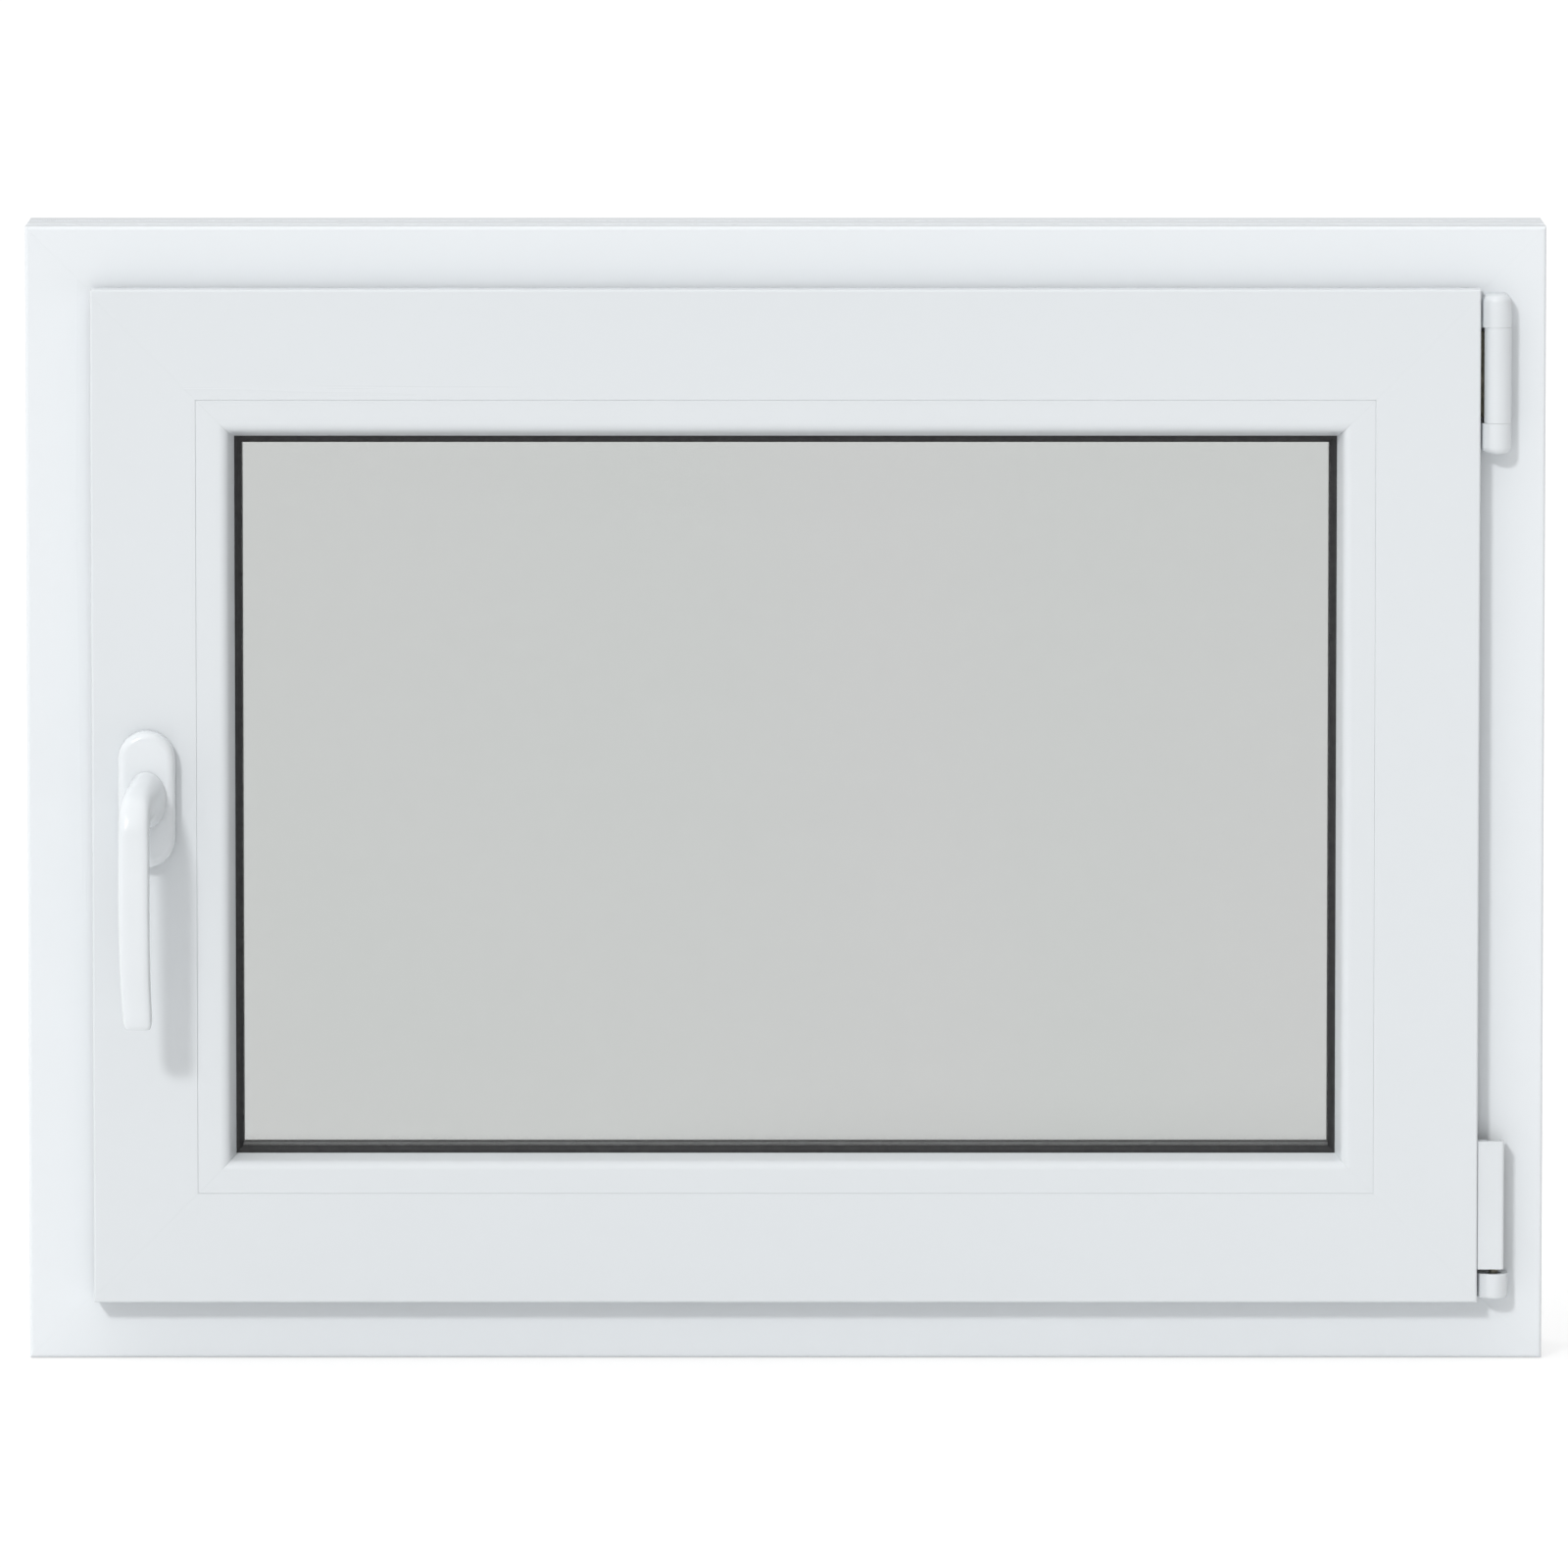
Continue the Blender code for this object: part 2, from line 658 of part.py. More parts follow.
def build_stay():
    """The stay arm: a flat bar over the sash, cranked through the overlap gap to its knuckle."""
    stud_x = HINGE_X - STAY_LENGTH
    bar = arc(stud_x, GROOVE_MIDDLE, 7.0, 90.0, 270.0, 8)
    bar += [(342.0, -32.0), (342.0, -37.6), (352.0, -37.6), (352.0, -18.0)]
    arm_shape = along_z(bar, STAY_Z, STAY_Z + STAY_THICKNESS)
    arm = make_piece("stay_arm", "stay", "zinc", arm_shape, smooth=True)
    top = STAY_Z + STAY_THICKNESS - 0.4
    low, high = ARM_KNUCKLE
    crank = [(350.2, low), (370.0, low), (370.0, high), (358.0, high), (358.0, top), (350.2, top)]
    block = box((366.6, -40.5, low), (HINGE_X, -35.5, high))
    knuckle = along_z(circle(HINGE_X, HINGE_Y, KNUCKLE_RADIUS), low, high)
    stud_top = STAY_Z + 1.0
    stud_profile = [(0, 541.0), (2.6, 541.0), (3.0, 541.4), (3.0, stud_top), (0, stud_top)]
    stud = turned(stud_profile, lambda x, y, h: (stud_x + x, GROOVE_MIDDLE + y, h), 14)
    combine(arm, [along_y(crank, -37.5, -35.4), block, knuckle, stud], "UNION")
    bore = along_z(circle(HINGE_X, HINGE_Y, PIN_RADIUS + GAP), low - 2.0, high + 2.0)
    combine(arm, [bore], "DIFFERENCE")

    slit, back_edge = 202.0, 420.0
    shell = arc(HINGE_X, HINGE_Y, CAP_RADIUS, slit, back_edge, 14)
    shell += arc(HINGE_X, HINGE_Y, CAP_RADIUS - CAP_WALL, back_edge, slit, 14)
    make_piece("stay_arm_cap", "stay", "cap_white", along_z(shell, *ARM_CAP), smooth=True)

    guide = rectangle(90.0, 338.0, -32.9, -17.1, 1.0)
    slot = rectangle(stud_x - 5.0, stud_x + 10.0, -29.0, -21.0, 2.0)
    plate = along_z(guide, FRAME_HEIGHT - 54.4, FRAME_HEIGHT - 52.3, [slot])
    make_piece("stay_guide", "sash", "zinc", plate)


def build_lower_hinge():
    cap_bottom, cap_top = PIVOT_CAP
    rest_top = cap_top - CAP_WALL
    outline = arc(HINGE_X, HINGE_Y, CAP_RADIUS - CAP_WALL - GAP, 180.0, 360.0, 12)
    outline += [(379.9, ROOM_FACE - GAP), (368.1, ROOM_FACE - GAP)]
    rest_shape = along_z(outline, cap_bottom + GAP, rest_top)
    rest = make_piece("pivot_rest", "frame", "zinc", rest_shape, smooth=True)
    combine(rest, [along_z(circle(HINGE_X, HINGE_Y, 4.6), 37.6, 50.0)], "DIFFERENCE")

    cap_shape = along_z(cap_outline(CAP_RADIUS), cap_bottom, cap_top)
    cap = make_piece("pivot_rest_cap", "frame", "cap_white", cap_shape, smooth=True)
    inner = cap_hollow()
    mouth = along_z(circle(HINGE_X, HINGE_Y, 3.9), rest_top - 1.0, cap_top + 1.0)
    combine(cap, [along_z(inner, cap_bottom - 2.0, rest_top + GAP), mouth], "DIFFERENCE")

    def upright(x, y, height):
        return (HINGE_X + x, HINGE_Y + y, height)

    seat_angles = (0.0, -0.4, -0.8, -1.2)
    seat = [(3.3 * math.cos(angle), TILT_Z + 3.3 * math.sin(angle)) for angle in seat_angles]
    bush = [(0, 37.9), (4.3, 37.9), (4.3, 45.2), (3.8, 45.2), (3.3, 44.0), *seat, (0, TILT_Z - 3.3)]
    make_piece("pivot_bush", "carrier", "block_grey", turned(bush, upright), smooth=True)

    ball_angles = (-1.2, -0.8, -0.4, 0.0, 0.35)
    ball = [(3.0 * math.cos(angle), TILT_Z + 3.0 * math.sin(angle)) for angle in ball_angles]
    pin = [(0, TILT_Z - 3.0), *ball, (2.3, TILT_Z + 2.0), (2.3, 74.5), (0, 74.5)]
    make_piece("pivot_pin", "sash", "zinc", turned(pin, upright, 16), smooth=True)

    bar_bottom, bar_top = CORNER_CAP
    core = along_z(circle(HINGE_X, HINGE_Y, 3.8), bar_bottom + 0.6, bar_top - 1.4)
    hinge = make_piece("corner_hinge", "sash", "zinc", core, smooth=True)
    low, high = bar_bottom + 4.6, bar_top - 4.0
    web = box((349.0, -37.6, low), (HINGE_X, -35.6, high))
    block = box((367.4, -41.0, low), (HINGE_X, -36.0, high))
    rebate_plate = box((348.4, -37.0, low), (350.2, -18.0, high))
    combine(hinge, [web, block, rebate_plate], "UNION")
    combine(hinge, [along_z(circle(HINGE_X, HINGE_Y, 2.6, 16), 48.0, 75.0)], "DIFFERENCE")

    cover = rounded([(379.1, -39.6), (379.1, -51.4, 1.2), (367.1, -51.4, 1.2), (367.1, -42.4)])
    cover += arc(HINGE_X, HINGE_Y, 4.1, 160.0, 400.0, 16)
    make_piece("corner_hinge_cap", "sash", "cap_white", along_z(cover, bar_bottom, bar_top), smooth=True)


def gear_outline():
    """Straight-flanked teeth, with one tooth centred on the side that meets the rod."""
    root = GEAR_PITCH_RADIUS - TOOTH_DEPTH
    tip = GEAR_PITCH_RADIUS + TOOTH_TOP
    root_half, tip_half = 1.35 / root, 0.6 / tip
    outline = []
    for tooth in range(GEAR_TEETH):
        middle = math.pi + 2 * math.pi * tooth / GEAR_TEETH
        for radius, offset in ((root, -root_half), (tip, -tip_half), (tip, tip_half), (root, root_half)):
            angle = middle + offset
            outline.append((HANDLE_X + radius * math.cos(angle), HANDLE_Z + radius * math.sin(angle)))
    return outline


def square(size):
    half = size / 2
    return rectangle(HANDLE_X - half, HANDLE_X + half, HANDLE_Z - half, HANDLE_Z + half)


def build_gearbox():
    case = make_piece("gearbox_case", "sash", "zinc", box((-342.6, -30.4, 254.0), (-317.0, -19.6, 346.0)))
    cavity = box((-344.0, -29.0, 286.8), (-320.0, -21.0, 313.2))
    bore = along_y(circle(HANDLE_X, HANDLE_Z, 6.5), -32.0, -18.0)
    screw_holes = []
    for end in (-1, 1):
        hole = circle(HANDLE_X, HANDLE_Z + end * SCREW_SPACING / 2, 2.9, 12)
        screw_holes.append(along_y(hole, -32.0, -18.0))
    combine(case, [cavity, bore, *screw_holes], "DIFFERENCE")
    pinion = along_y(gear_outline(), -28.6, -21.4, [square(SPINDLE_SIZE + 2 * GAP)])
    make_piece("gearbox_pinion", "handle", "zinc", pinion)

    def cam_slot(cam):
        return rectangle(GROOVE_MIDDLE - 4.0, GROOVE_MIDDLE + 4.0, cam - ROD_TRAVEL - 4.4, cam + 4.4)

    face = rectangle(-32.9, -17.1, 104.0, 496.0, 1.0)
    left = -FRAME_WIDTH / 2
    plate = along_x(face, left + 52.3, left + 54.4, [cam_slot(HANDLE_SIDE_CAM_Z)])
    make_piece("faceplate", "sash", "zinc", plate)

    for name, flip in (("corner_drive_top", False), ("corner_drive_bottom", True)):
        outer, inner, reach = 52.4, 61.0, 100.0
        corner = [(outer, outer), (reach, outer), (reach, inner)]
        corner += [(inner, inner), (inner, reach), (outer, reach)]
        outline = [(left + a, b if flip else FRAME_HEIGHT - b) for a, b in corner]
        make_piece(name, "sash", "zinc", along_y(outline, -30.5, -19.5))


def cam(side, s):
    """A locking cam: a stud that stands out of its rod into the rebate."""
    place = side_place(side)
    outline = circle(0.0, 0.0, CAM_RADIUS, 16)
    return extruded(
        outline,
        lambda a, b: place(CAM_END_U, GROOVE_MIDDLE + a, s + b),
        lambda a, b: place(ROD_TOP_U + ROD_THICKNESS / 2, GROOVE_MIDDLE + a, s + b),
    )


def rack_slots():
    """The punched slots that the pinion's teeth run in, from one below the handle's axis upwards."""
    left = -FRAME_WIDTH / 2
    half = (TOOTH_PITCH - RACK_BAR) / 2
    slots = []
    for index in range(-1, math.ceil(ROD_TRAVEL / TOOTH_PITCH) + 2):
        middle = HANDLE_Z + index * TOOTH_PITCH
        slots.append(box((left + 53.0, -29.0, middle - half), (left + 59.0, -21.0, middle + half)))
    return slots


def build_rods():
    rod_back_u = ROD_TOP_U + ROD_THICKNESS
    left = -FRAME_WIDTH / 2
    low_y, high_y = GROOVE_MIDDLE - ROD_HALF_WIDTH, GROOVE_MIDDLE + ROD_HALF_WIDTH
    strip = along_x(rectangle(low_y, high_y, 140.0, 480.0), left + ROD_TOP_U, left + rod_back_u)
    rod = make_piece("drive_rod", "drive_rod", "zinc", strip)
    combine(rod, [cam("handle", HANDLE_SIDE_CAM_Z - FRAME_HEIGHT / 2)], "UNION")
    combine(rod, [merged(rack_slots())], "DIFFERENCE")

    top = box((-262.0, low_y, FRAME_HEIGHT - rod_back_u), (60.0, high_y, FRAME_HEIGHT - ROD_TOP_U))
    rod = make_piece("top_rod", "top_rod", "zinc", top)
    combine(rod, [cam("head", TOP_CAM_X)], "UNION")
    bottom = box((-290.0, low_y, ROD_TOP_U), (60.0, high_y, rod_back_u))
    rod = make_piece("bottom_rod", "bottom_rod", "zinc", bottom)
    combine(rod, [cam("sill", -BOTTOM_CAM_X)], "UNION")


def build_rosette():
    face = SASH_ROOM_FACE - GAP
    screw_places = [HANDLE_Z + end * SCREW_SPACING / 2 for end in (-1, 1)]
    holes = [circle(HANDLE_X, HANDLE_Z, 8.6)]
    holes += [circle(HANDLE_X, z, 2.9, 12) for z in screw_places]
    base = along_y(stadium(HANDLE_X, HANDLE_Z, 13.1, 34.1), face - 4.0, face, holes)
    make_piece("rosette_base", "sash", "block_grey", base, smooth=True)

    outer = along_y(stadium(HANDLE_X, HANDLE_Z, 15.0, 36.0), ROSETTE_FRONT, face)
    cover = make_piece("rosette_cover", "sash", "handle_white", outer, smooth=True)
    inside = along_y(stadium(HANDLE_X, HANDLE_Z, 13.5, 34.5), ROSETTE_FRONT + 1.6, face + 2.0)
    bore = along_y(circle(HANDLE_X, HANDLE_Z, 8.6), ROSETTE_FRONT - 2.0, face)
    combine(cover, [inside, bore], "DIFFERENCE")

    head = face - 4.0 - GAP
    profile = [(0, head - 2.4), (3.4, head - 2.4), (4.4, head - 1.6), (4.4, head), (2.5, head)]
    profile += [(2.5, -21.0), (1.9, -20.2), (0, -20.2)]
    for name, z in zip(("handle_screw_lower", "handle_screw_upper"), screw_places):
        shape = turned(profile, lambda x, y, h, z=z: (HANDLE_X + x, h, z + y), 14)
        make_piece(name, "sash", "zinc", shape, smooth=True)


# The lever, from its foot on the rosette to the end of the grip: y, z, how far the grip is set off to
# the side, half width, half thickness, lean, corner power. Lean turns the section from facing the room
# (0) to lying across the grip (90). A corner power of 1 is an ellipse, and a smaller one is squarer.
LEVER_STATIONS = [
    (-64.9, 300.0, 0.0, 10.4, 15.0, 0, 0.95),
    (-70.0, 300.0, -0.3, 10.0, 14.2, 0, 0.95),
    (-80.0, 300.0, -1.6, 9.4, 12.2, 3, 0.9),
    (-90.0, 299.2, -3.2, 8.8, 9.8, 14, 0.8),
    (-97.5, 296.0, -4.4, 8.4, 7.8, 38, 0.7),
    (-102.0, 289.0, -4.8, 8.1, 6.6, 66, 0.64),
    (-103.6, 278.0, -4.9, 8.1, 6.1, 84, 0.6),
    (-104.2, 245.6, -5.0, 8.1, 5.8, 92, 0.6),
    (-102.6, 213.2, -4.6, 7.9, 5.6, 95, 0.6),
    (-100.4, 192.6, -3.7, 7.6, 5.4, 97, 0.6),
    (-99.5, 185.6, -3.4, 7.2, 4.8, 98, 0.6),
    (-99.2, 183.1, -3.3, 6.0, 3.6, 98, 0.6),
]


def build_handle():
    """The lever is swept through its stations with a rounded square section."""
    sides = 16
    points = []
    for y, z, offset, half_width, half_thickness, lean, power in LEVER_STATIONS:
        up = Vector((0.0, -math.sin(math.radians(lean)), math.cos(math.radians(lean))))
        for side in range(sides):
            angle = 2 * math.pi * (side + 0.5) / sides
            across = math.copysign(abs(math.cos(angle)) ** power, math.cos(angle))
            along = math.copysign(abs(math.sin(angle)) ** power, math.sin(angle))
            middle = Vector((HANDLE_X + offset + across * half_width, y, z))
            points.append(tuple(middle + up * along * half_thickness))
    faces = [tuple(range(sides))]
    faces.append(tuple(reversed(range(len(points) - sides, len(points)))))
    for station in range(len(LEVER_STATIONS) - 1):
        for side in range(sides):
            here = station * sides + side
            following = station * sides + (side + 1) % sides
            faces.append((here, following, following + sides, here + sides))
    lever = make_piece("handle_lever", "handle", "handle_white", (points, faces), smooth=True)
    collar = along_y(circle(HANDLE_X, HANDLE_Z, 8.0), -67.0, -54.5)
    combine(lever, [collar], "UNION")
    socket = along_y(square(SPINDLE_SIZE + 2 * GAP), -80.0, -50.0)
    combine(lever, [socket], "DIFFERENCE")
    spindle = along_y(square(SPINDLE_SIZE), -79.6, -20.5)
    make_piece("handle_spindle", "handle", "zinc", spindle)


def main():
    clear_scene()
    make_finishes()
    make_bodies()
    build_frame()
    build_keeps()
    build_upper_hinge()
    build_lower_hinge()
    build_stay()
    build_sash_members()
    build_glazing()
    build_gearbox()
    build_rods()
    build_rosette()
    build_handle()


main()
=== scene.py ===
"""The looks of a white tilt and turn casement window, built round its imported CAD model.

Dimensions are written in millimetres and become metres when a mesh is made. X runs to the right as
seen from the room, Y runs from the room to the outside, and Z is up. A section is drawn with two
numbers: u, the distance in from the frame's outer edge, and y, the depth.
"""

import json
import math

import bmesh
import bpy
from mathutils import Matrix, Vector
from mathutils.geometry import tessellate_polygon

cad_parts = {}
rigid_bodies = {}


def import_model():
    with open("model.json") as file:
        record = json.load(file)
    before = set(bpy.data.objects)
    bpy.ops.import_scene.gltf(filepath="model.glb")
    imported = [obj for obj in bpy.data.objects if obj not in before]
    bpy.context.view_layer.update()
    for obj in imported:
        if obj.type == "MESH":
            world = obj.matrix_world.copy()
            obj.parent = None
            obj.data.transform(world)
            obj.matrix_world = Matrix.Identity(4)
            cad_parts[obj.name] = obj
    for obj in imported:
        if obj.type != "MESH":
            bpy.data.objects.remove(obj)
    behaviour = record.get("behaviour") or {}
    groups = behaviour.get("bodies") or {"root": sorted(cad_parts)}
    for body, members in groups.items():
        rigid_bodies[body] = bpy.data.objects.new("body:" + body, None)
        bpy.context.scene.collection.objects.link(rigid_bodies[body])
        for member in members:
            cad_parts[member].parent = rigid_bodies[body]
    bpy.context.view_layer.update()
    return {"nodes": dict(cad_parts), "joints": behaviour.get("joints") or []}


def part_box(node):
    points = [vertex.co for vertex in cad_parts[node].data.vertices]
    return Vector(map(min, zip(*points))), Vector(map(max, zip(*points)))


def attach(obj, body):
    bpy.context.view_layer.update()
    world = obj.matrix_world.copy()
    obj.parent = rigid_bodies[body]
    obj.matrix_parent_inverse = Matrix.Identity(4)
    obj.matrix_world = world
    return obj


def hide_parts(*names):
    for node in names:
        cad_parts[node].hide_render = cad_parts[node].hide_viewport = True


for startup_object in list(bpy.data.objects):
    bpy.data.objects.remove(startup_object)

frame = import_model()

MM = 0.001
ARC_STEPS = 8
SOFTENED_FROM_DEGREES = 40.0
SHARP_FROM_DEGREES = 32.0


def node_box(name):
    low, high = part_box(name)
    return low / MM, high / MM


def joint_place(name):
    joint = next(joint for joint in frame["joints"] if joint["name"] == name)
    return Vector(joint["pos_m"]) / MM


# The four sides of the window, seen from the room
SIDES = ("head", "sill", "handle", "hinge")
LEVEL_SIDES = ("head", "sill")

# Frame
HALF_WIDTH = node_box("frame_jamb_hinge_side")[1].x
FRAME_HEIGHT = node_box("frame_head")[1].z
ROOM_FACE = node_box("frame_head")[0].y
OUTSIDE_FACE = node_box("frame_head")[1].y
REBATE_U = 41.5
STOP_FACE = 17.0
SEAL_GROOVE_U = (59.0, 62.0)
SEAL_GROOVE_FLOOR = 20.0
EDGE_GROOVE_DEPTH = 2.5
DRAIN_X = 215.0
DRAIN_Z = 11.0

# Sash
STILE_EDGE_U = HALF_WIDTH - node_box("sash_stile_hinge_side")[1].x
RAIL_EDGE_U = FRAME_HEIGHT - node_box("sash_top_rail")[1].z
SASH_FILLET = 1.2
SASH_ROOM_FACE = node_box("sash_top_rail")[0].y
SASH_OUTSIDE_FACE = node_box("sash_top_rail")[1].y
FLANGE_BACK = -38.0
HARDWARE_U = 52.0
PLATE_U = 54.8
PLATE_FRONT = -33.2
PLATE_BACK = -16.8
GROOVE_U = 66.0
GROOVE_FRONT = -31.0
GROOVE_BACK = -19.0
GEARBOX_U = 69.0
GLAZING_U = 90.0
LIP_FACE = -8.0
SEAL_END_LOW = 52.0
SEAL_END_HIGH = 556.0

# Beads and glass
BEAD_EDGE_U = 110.0
BEAD_GROOVE_U = 87.0
BEAD_GROOVE_FRONT = -44.2
BEAD_GROOVE_BACK = -40.8
BEAD_FIT = 0.4
GLASS_ROOM_FACE = node_box("glass_pane_room")[0].y
BEAD_BACK = GLASS_ROOM_FACE - 3.6
ARRIS = 0.6

# Hinges
HINGE = joint_place("sash_turn")
CAP_RADIUS = HINGE.x - node_box("stay_hinge_cap_upper")[0].x
CAP_BACK = node_box("stay_hinge_cap_upper")[1].y
CAP_WALL = 1.2
CAP_WING = 8.7
CAP_SEAM = 0.1

# Handle
HANDLE = joint_place("handle_turn")
SPINDLE_HOLE = 6.5
HANDLE_SCREW_HOLE = 3.0
HANDLE_SCREW_SPACING = 43.0
ROSETTE_FILLET = 4.5
ROSETTE_WALL = 1.5
ROSETTE_FACE_WALL = 4.7
ROSETTE_BORE = 8.6
COLLAR_RADIUS = 8.0
COLLAR_LENGTH = 12.5

# Hardware screws
SCREW_RADIUS = 3.6
SCREW_HEIGHT = 0.5
KEEP_SCREW_RADIUS = 3.2
KEEP_PLATE_U = REBATE_U + 1.8
KEEP_SCREW_Y = -20.5

# Profile walls and the small marks of manufacture
WALL = 3.0
WELD_GROOVE = 0.05
BEAD_JOINT = 0.03
GAP = 0.3

# Studio. The sky's light grows from the horizon to the zenith and falls from left to right.
KEY_TRAVEL = (0.41, 1.0, -0.62)
KEY_STRENGTH = 1.15
KEY_WIDTH_DEGREES = 7.0
HORIZON = 0.33
ZENITH = 1.95
FROM_LEFT = 1.06
FROM_RIGHT = 0.33
BACKDROP = 1.05
FLOOR_GLOW = 0.7
FLOOR_BOUNCE = 0.9
FLOOR_TOP = -0.5
FLOOR_BOTTOM = -20.0
FLOOR_HALF_SIZE = 40000.0

# Camera: its place is in metres and its tilt in degrees
CAMERA_PLACE = (0.0, -8.035, 1.158)
CAMERA_TILT = 84.5
LENS = 350.2
SENSOR = 36.0
SHIFT_X = -0.001
SHIFT_Y = -0.099
CLIP_END = 200.0


# ---------------------------------------------------------------- outlines


def rounded(points, steps=ARC_STEPS):
    """An outline whose corners given as (a, b, radius) become arcs."""
    outline = []
    for index, point in enumerate(points):
        here = Vector(point[:2])
        radius = point[2] if len(point) > 2 else 0.0
        if not radius:
            outline.append((here.x, here.y))
            continue
        before = (Vector(points[index - 1][:2]) - here).normalized()
        after = (Vector(points[(index + 1) % len(points)][:2]) - here).normalized()
        half_angle = before.angle(after) / 2
        centre = here + (before + after).normalized() * radius / math.sin(half_angle)
        first = here + before * radius / math.tan(half_angle) - centre
        last = here + after * radius / math.tan(half_angle) - centre
        turn = first.angle_signed(last)
        for step in range(steps + 1):
            spoke = first.copy()
            spoke.rotate(Matrix.Rotation(-turn * step / steps, 2))
            outline.append((centre.x + spoke.x, centre.y + spoke.y))
    return outline


def rectangle(a_low, a_high, b_low, b_high, radius=0.0, steps=ARC_STEPS):
    corners = [(a_low, b_low), (a_high, b_low), (a_high, b_high), (a_low, b_high)]
    return rounded([(a, b, radius) for a, b in corners], steps)


def arc(a, b, radius, start, end, steps):
    angles = [math.radians(start + (end - start) * step / steps) for step in range(steps + 1)]
    return [(a + radius * math.cos(angle), b + radius * math.sin(angle)) for angle in angles]


def circle(a, b, radius, sides=48):
    return arc(a, b, radius, 0.0, 360.0 * (sides - 1) / sides, sides - 1)


def stadium(a, b, half_width, half_height, steps=24):
    """An upright slot shape with round ends."""
    straight = half_height - half_width
    top = arc(a, b + straight, half_width, 0.0, 180.0, steps)
    bottom = arc(a, b - straight, half_width, 180.0, 360.0, steps)
    return top + bottom


def inset(outline, distance):
    """An anticlockwise outline moved inwards."""
    moved = []
    for index, point in enumerate(outline):
        here = Vector(point)
        before = (here - Vector(outline[index - 1])).normalized()
        after = (Vector(outline[(index + 1) % len(outline)]) - here).normalized()
        inward = Vector((-before.y - after.y, before.x + after.x)).normalized()
        across = inward.dot(Vector((-before.y, before.x)))
        # A very sharp corner would otherwise move too far.
        moved.append(tuple(here + inward * distance / max(across, 0.4)))
    return moved


# ---------------------------------------------------------------- shapes


def loft(rings, loops):
    """Skins rings of points and closes both ends. Each ring holds the same loops one after the other."""
    count = len(rings[0])
    points = [point for ring in rings for point in ring]
    faces = []
    for number in range(len(rings) - 1):
        start = number * count
        for loop in loops:
            for index in range(len(loop)):
                here = start + index
                following = start + (index + 1) % len(loop)
                faces.append((here, following, following + count, here + count))
            start += len(loop)
    last = count * (len(rings) - 1)
    for triangle in tessellate_polygon([[Vector((a, b, 0)) for a, b in loop] for loop in loops]):
        faces.append(tuple(triangle))
        faces.append(tuple(last + index for index in reversed(triangle)))
    return points, faces


def flat(loops):
    return [point for loop in loops for point in loop]


def along_y(outline, low, high):
    """A prism along Y from an outline of (x, z)."""
    return loft([[(x, y, z) for x, z in outline] for y in (low, high)], [outline])


def along_z(outline, low, high):
    """A prism along Z from an outline of (x, y)."""
    return loft([[(x, y, z) for x, y in outline] for z in (low, high)], [outline])


def box(low, high):
    return along_z(rectangle(low[0], high[0], low[1], high[1]), low[2], high[2])


def merged(shapes):
    points = []
    faces = []
    for more_points, more_faces in shapes:
        start = len(points)
        points += more_points
        faces += [tuple(start + index for index in face) for face in more_faces]
    return points, faces


def side_place(side):
    """Turns (u, y, s) into a point in space, with s along one side of the frame."""
    return {
        "head": lambda u, y, s: (s, y, FRAME_HEIGHT - u),
        "sill": lambda u, y, s: (-s, y, u),
        "handle": lambda u, y, s: (-HALF_WIDTH + u, y, FRAME_HEIGHT / 2 + s),
        "hinge": lambda u, y, s: (HALF_WIDTH - u, y, FRAME_HEIGHT / 2 - s),
    }[side]


def mitred(side, outline, chambers):
    """A length of profile cut at 45 degrees, with the fine groove that a cleaned weld leaves."""
    place = side_place(side)
    half = HALF_WIDTH if side in LEVEL_SIDES else FRAME_HEIGHT / 2
    loops = [outline, *chambers]
    drawn_in = [inset(outline, WELD_GROOVE), *chambers]

    def ring_at(section, end, back):
        return [place(u, y, end * (half - u - back)) for u, y in flat(section)]

    rings = [ring_at(drawn_in, -1, 0.0), ring_at(loops, -1, WELD_GROOVE)]
    rings += [ring_at(loops, 1, WELD_GROOVE), ring_at(drawn_in, 1, 0.0)]
    return loft(rings, loops)


def ring(outline):
    """A section run all the way round the window."""
    points = []
    for u, y in outline:
        across = HALF_WIDTH - u
        top = FRAME_HEIGHT - u
        points += [(-across, y, u), (across, y, u), (across, y, top), (-across, y, top)]
    faces = []
    for index in range(len(outline)):
        start = 4 * index
        following = 4 * ((index + 1) % len(outline))
        for corner in range(4):
            other = (corner + 1) % 4
            faces.append((start + corner, start + other, following + other, following + corner))
    return points, faces


def open_run(outline, route):
    """A section run from corner to corner and closed at both ends. A corner turns (u, y) into a point."""
    return loft([[corner(u, y) for u, y in outline] for corner in route], [outline])


# ---------------------------------------------------------------- objects


def add_mesh(name, shape):
    points, faces = shape
    builder = bmesh.new()
    corners = [builder.verts.new(Vector(point) * MM) for point in points]
    for face in faces:
        builder.faces.new([corners[index] for index in face])
    bmesh.ops.recalc_face_normals(builder, faces=builder.faces)
    mesh = bpy.data.meshes.new(name)
    builder.to_mesh(mesh)
    builder.free()
    obj = bpy.data.objects.new(name, mesh)
    bpy.context.scene.collection.objects.link(obj)
    return obj


def settle(obj):
    """Applies an object's modifiers to its mesh."""
    graph = bpy.context.evaluated_depsgraph_get()
    mesh = bpy.data.meshes.new_from_object(obj.evaluated_get(graph))
    obj.modifiers.clear()
    obj.data = mesh


def cut(obj, shapes, solver="EXACT"):
    """Takes shapes away from an object."""
    helpers = []
    for number, shape in enumerate(shapes):
        helper = add_mesh(f"{obj.name}_cut_{number}", shape)
        helpers.append(helper)
        modifier = obj.modifiers.new(helper.name, "BOOLEAN")
        modifier.operation = "DIFFERENCE"
        modifier.solver = solver
        modifier.object = helper
    settle(obj)
    for helper in helpers:
        bpy.data.objects.remove(helper)


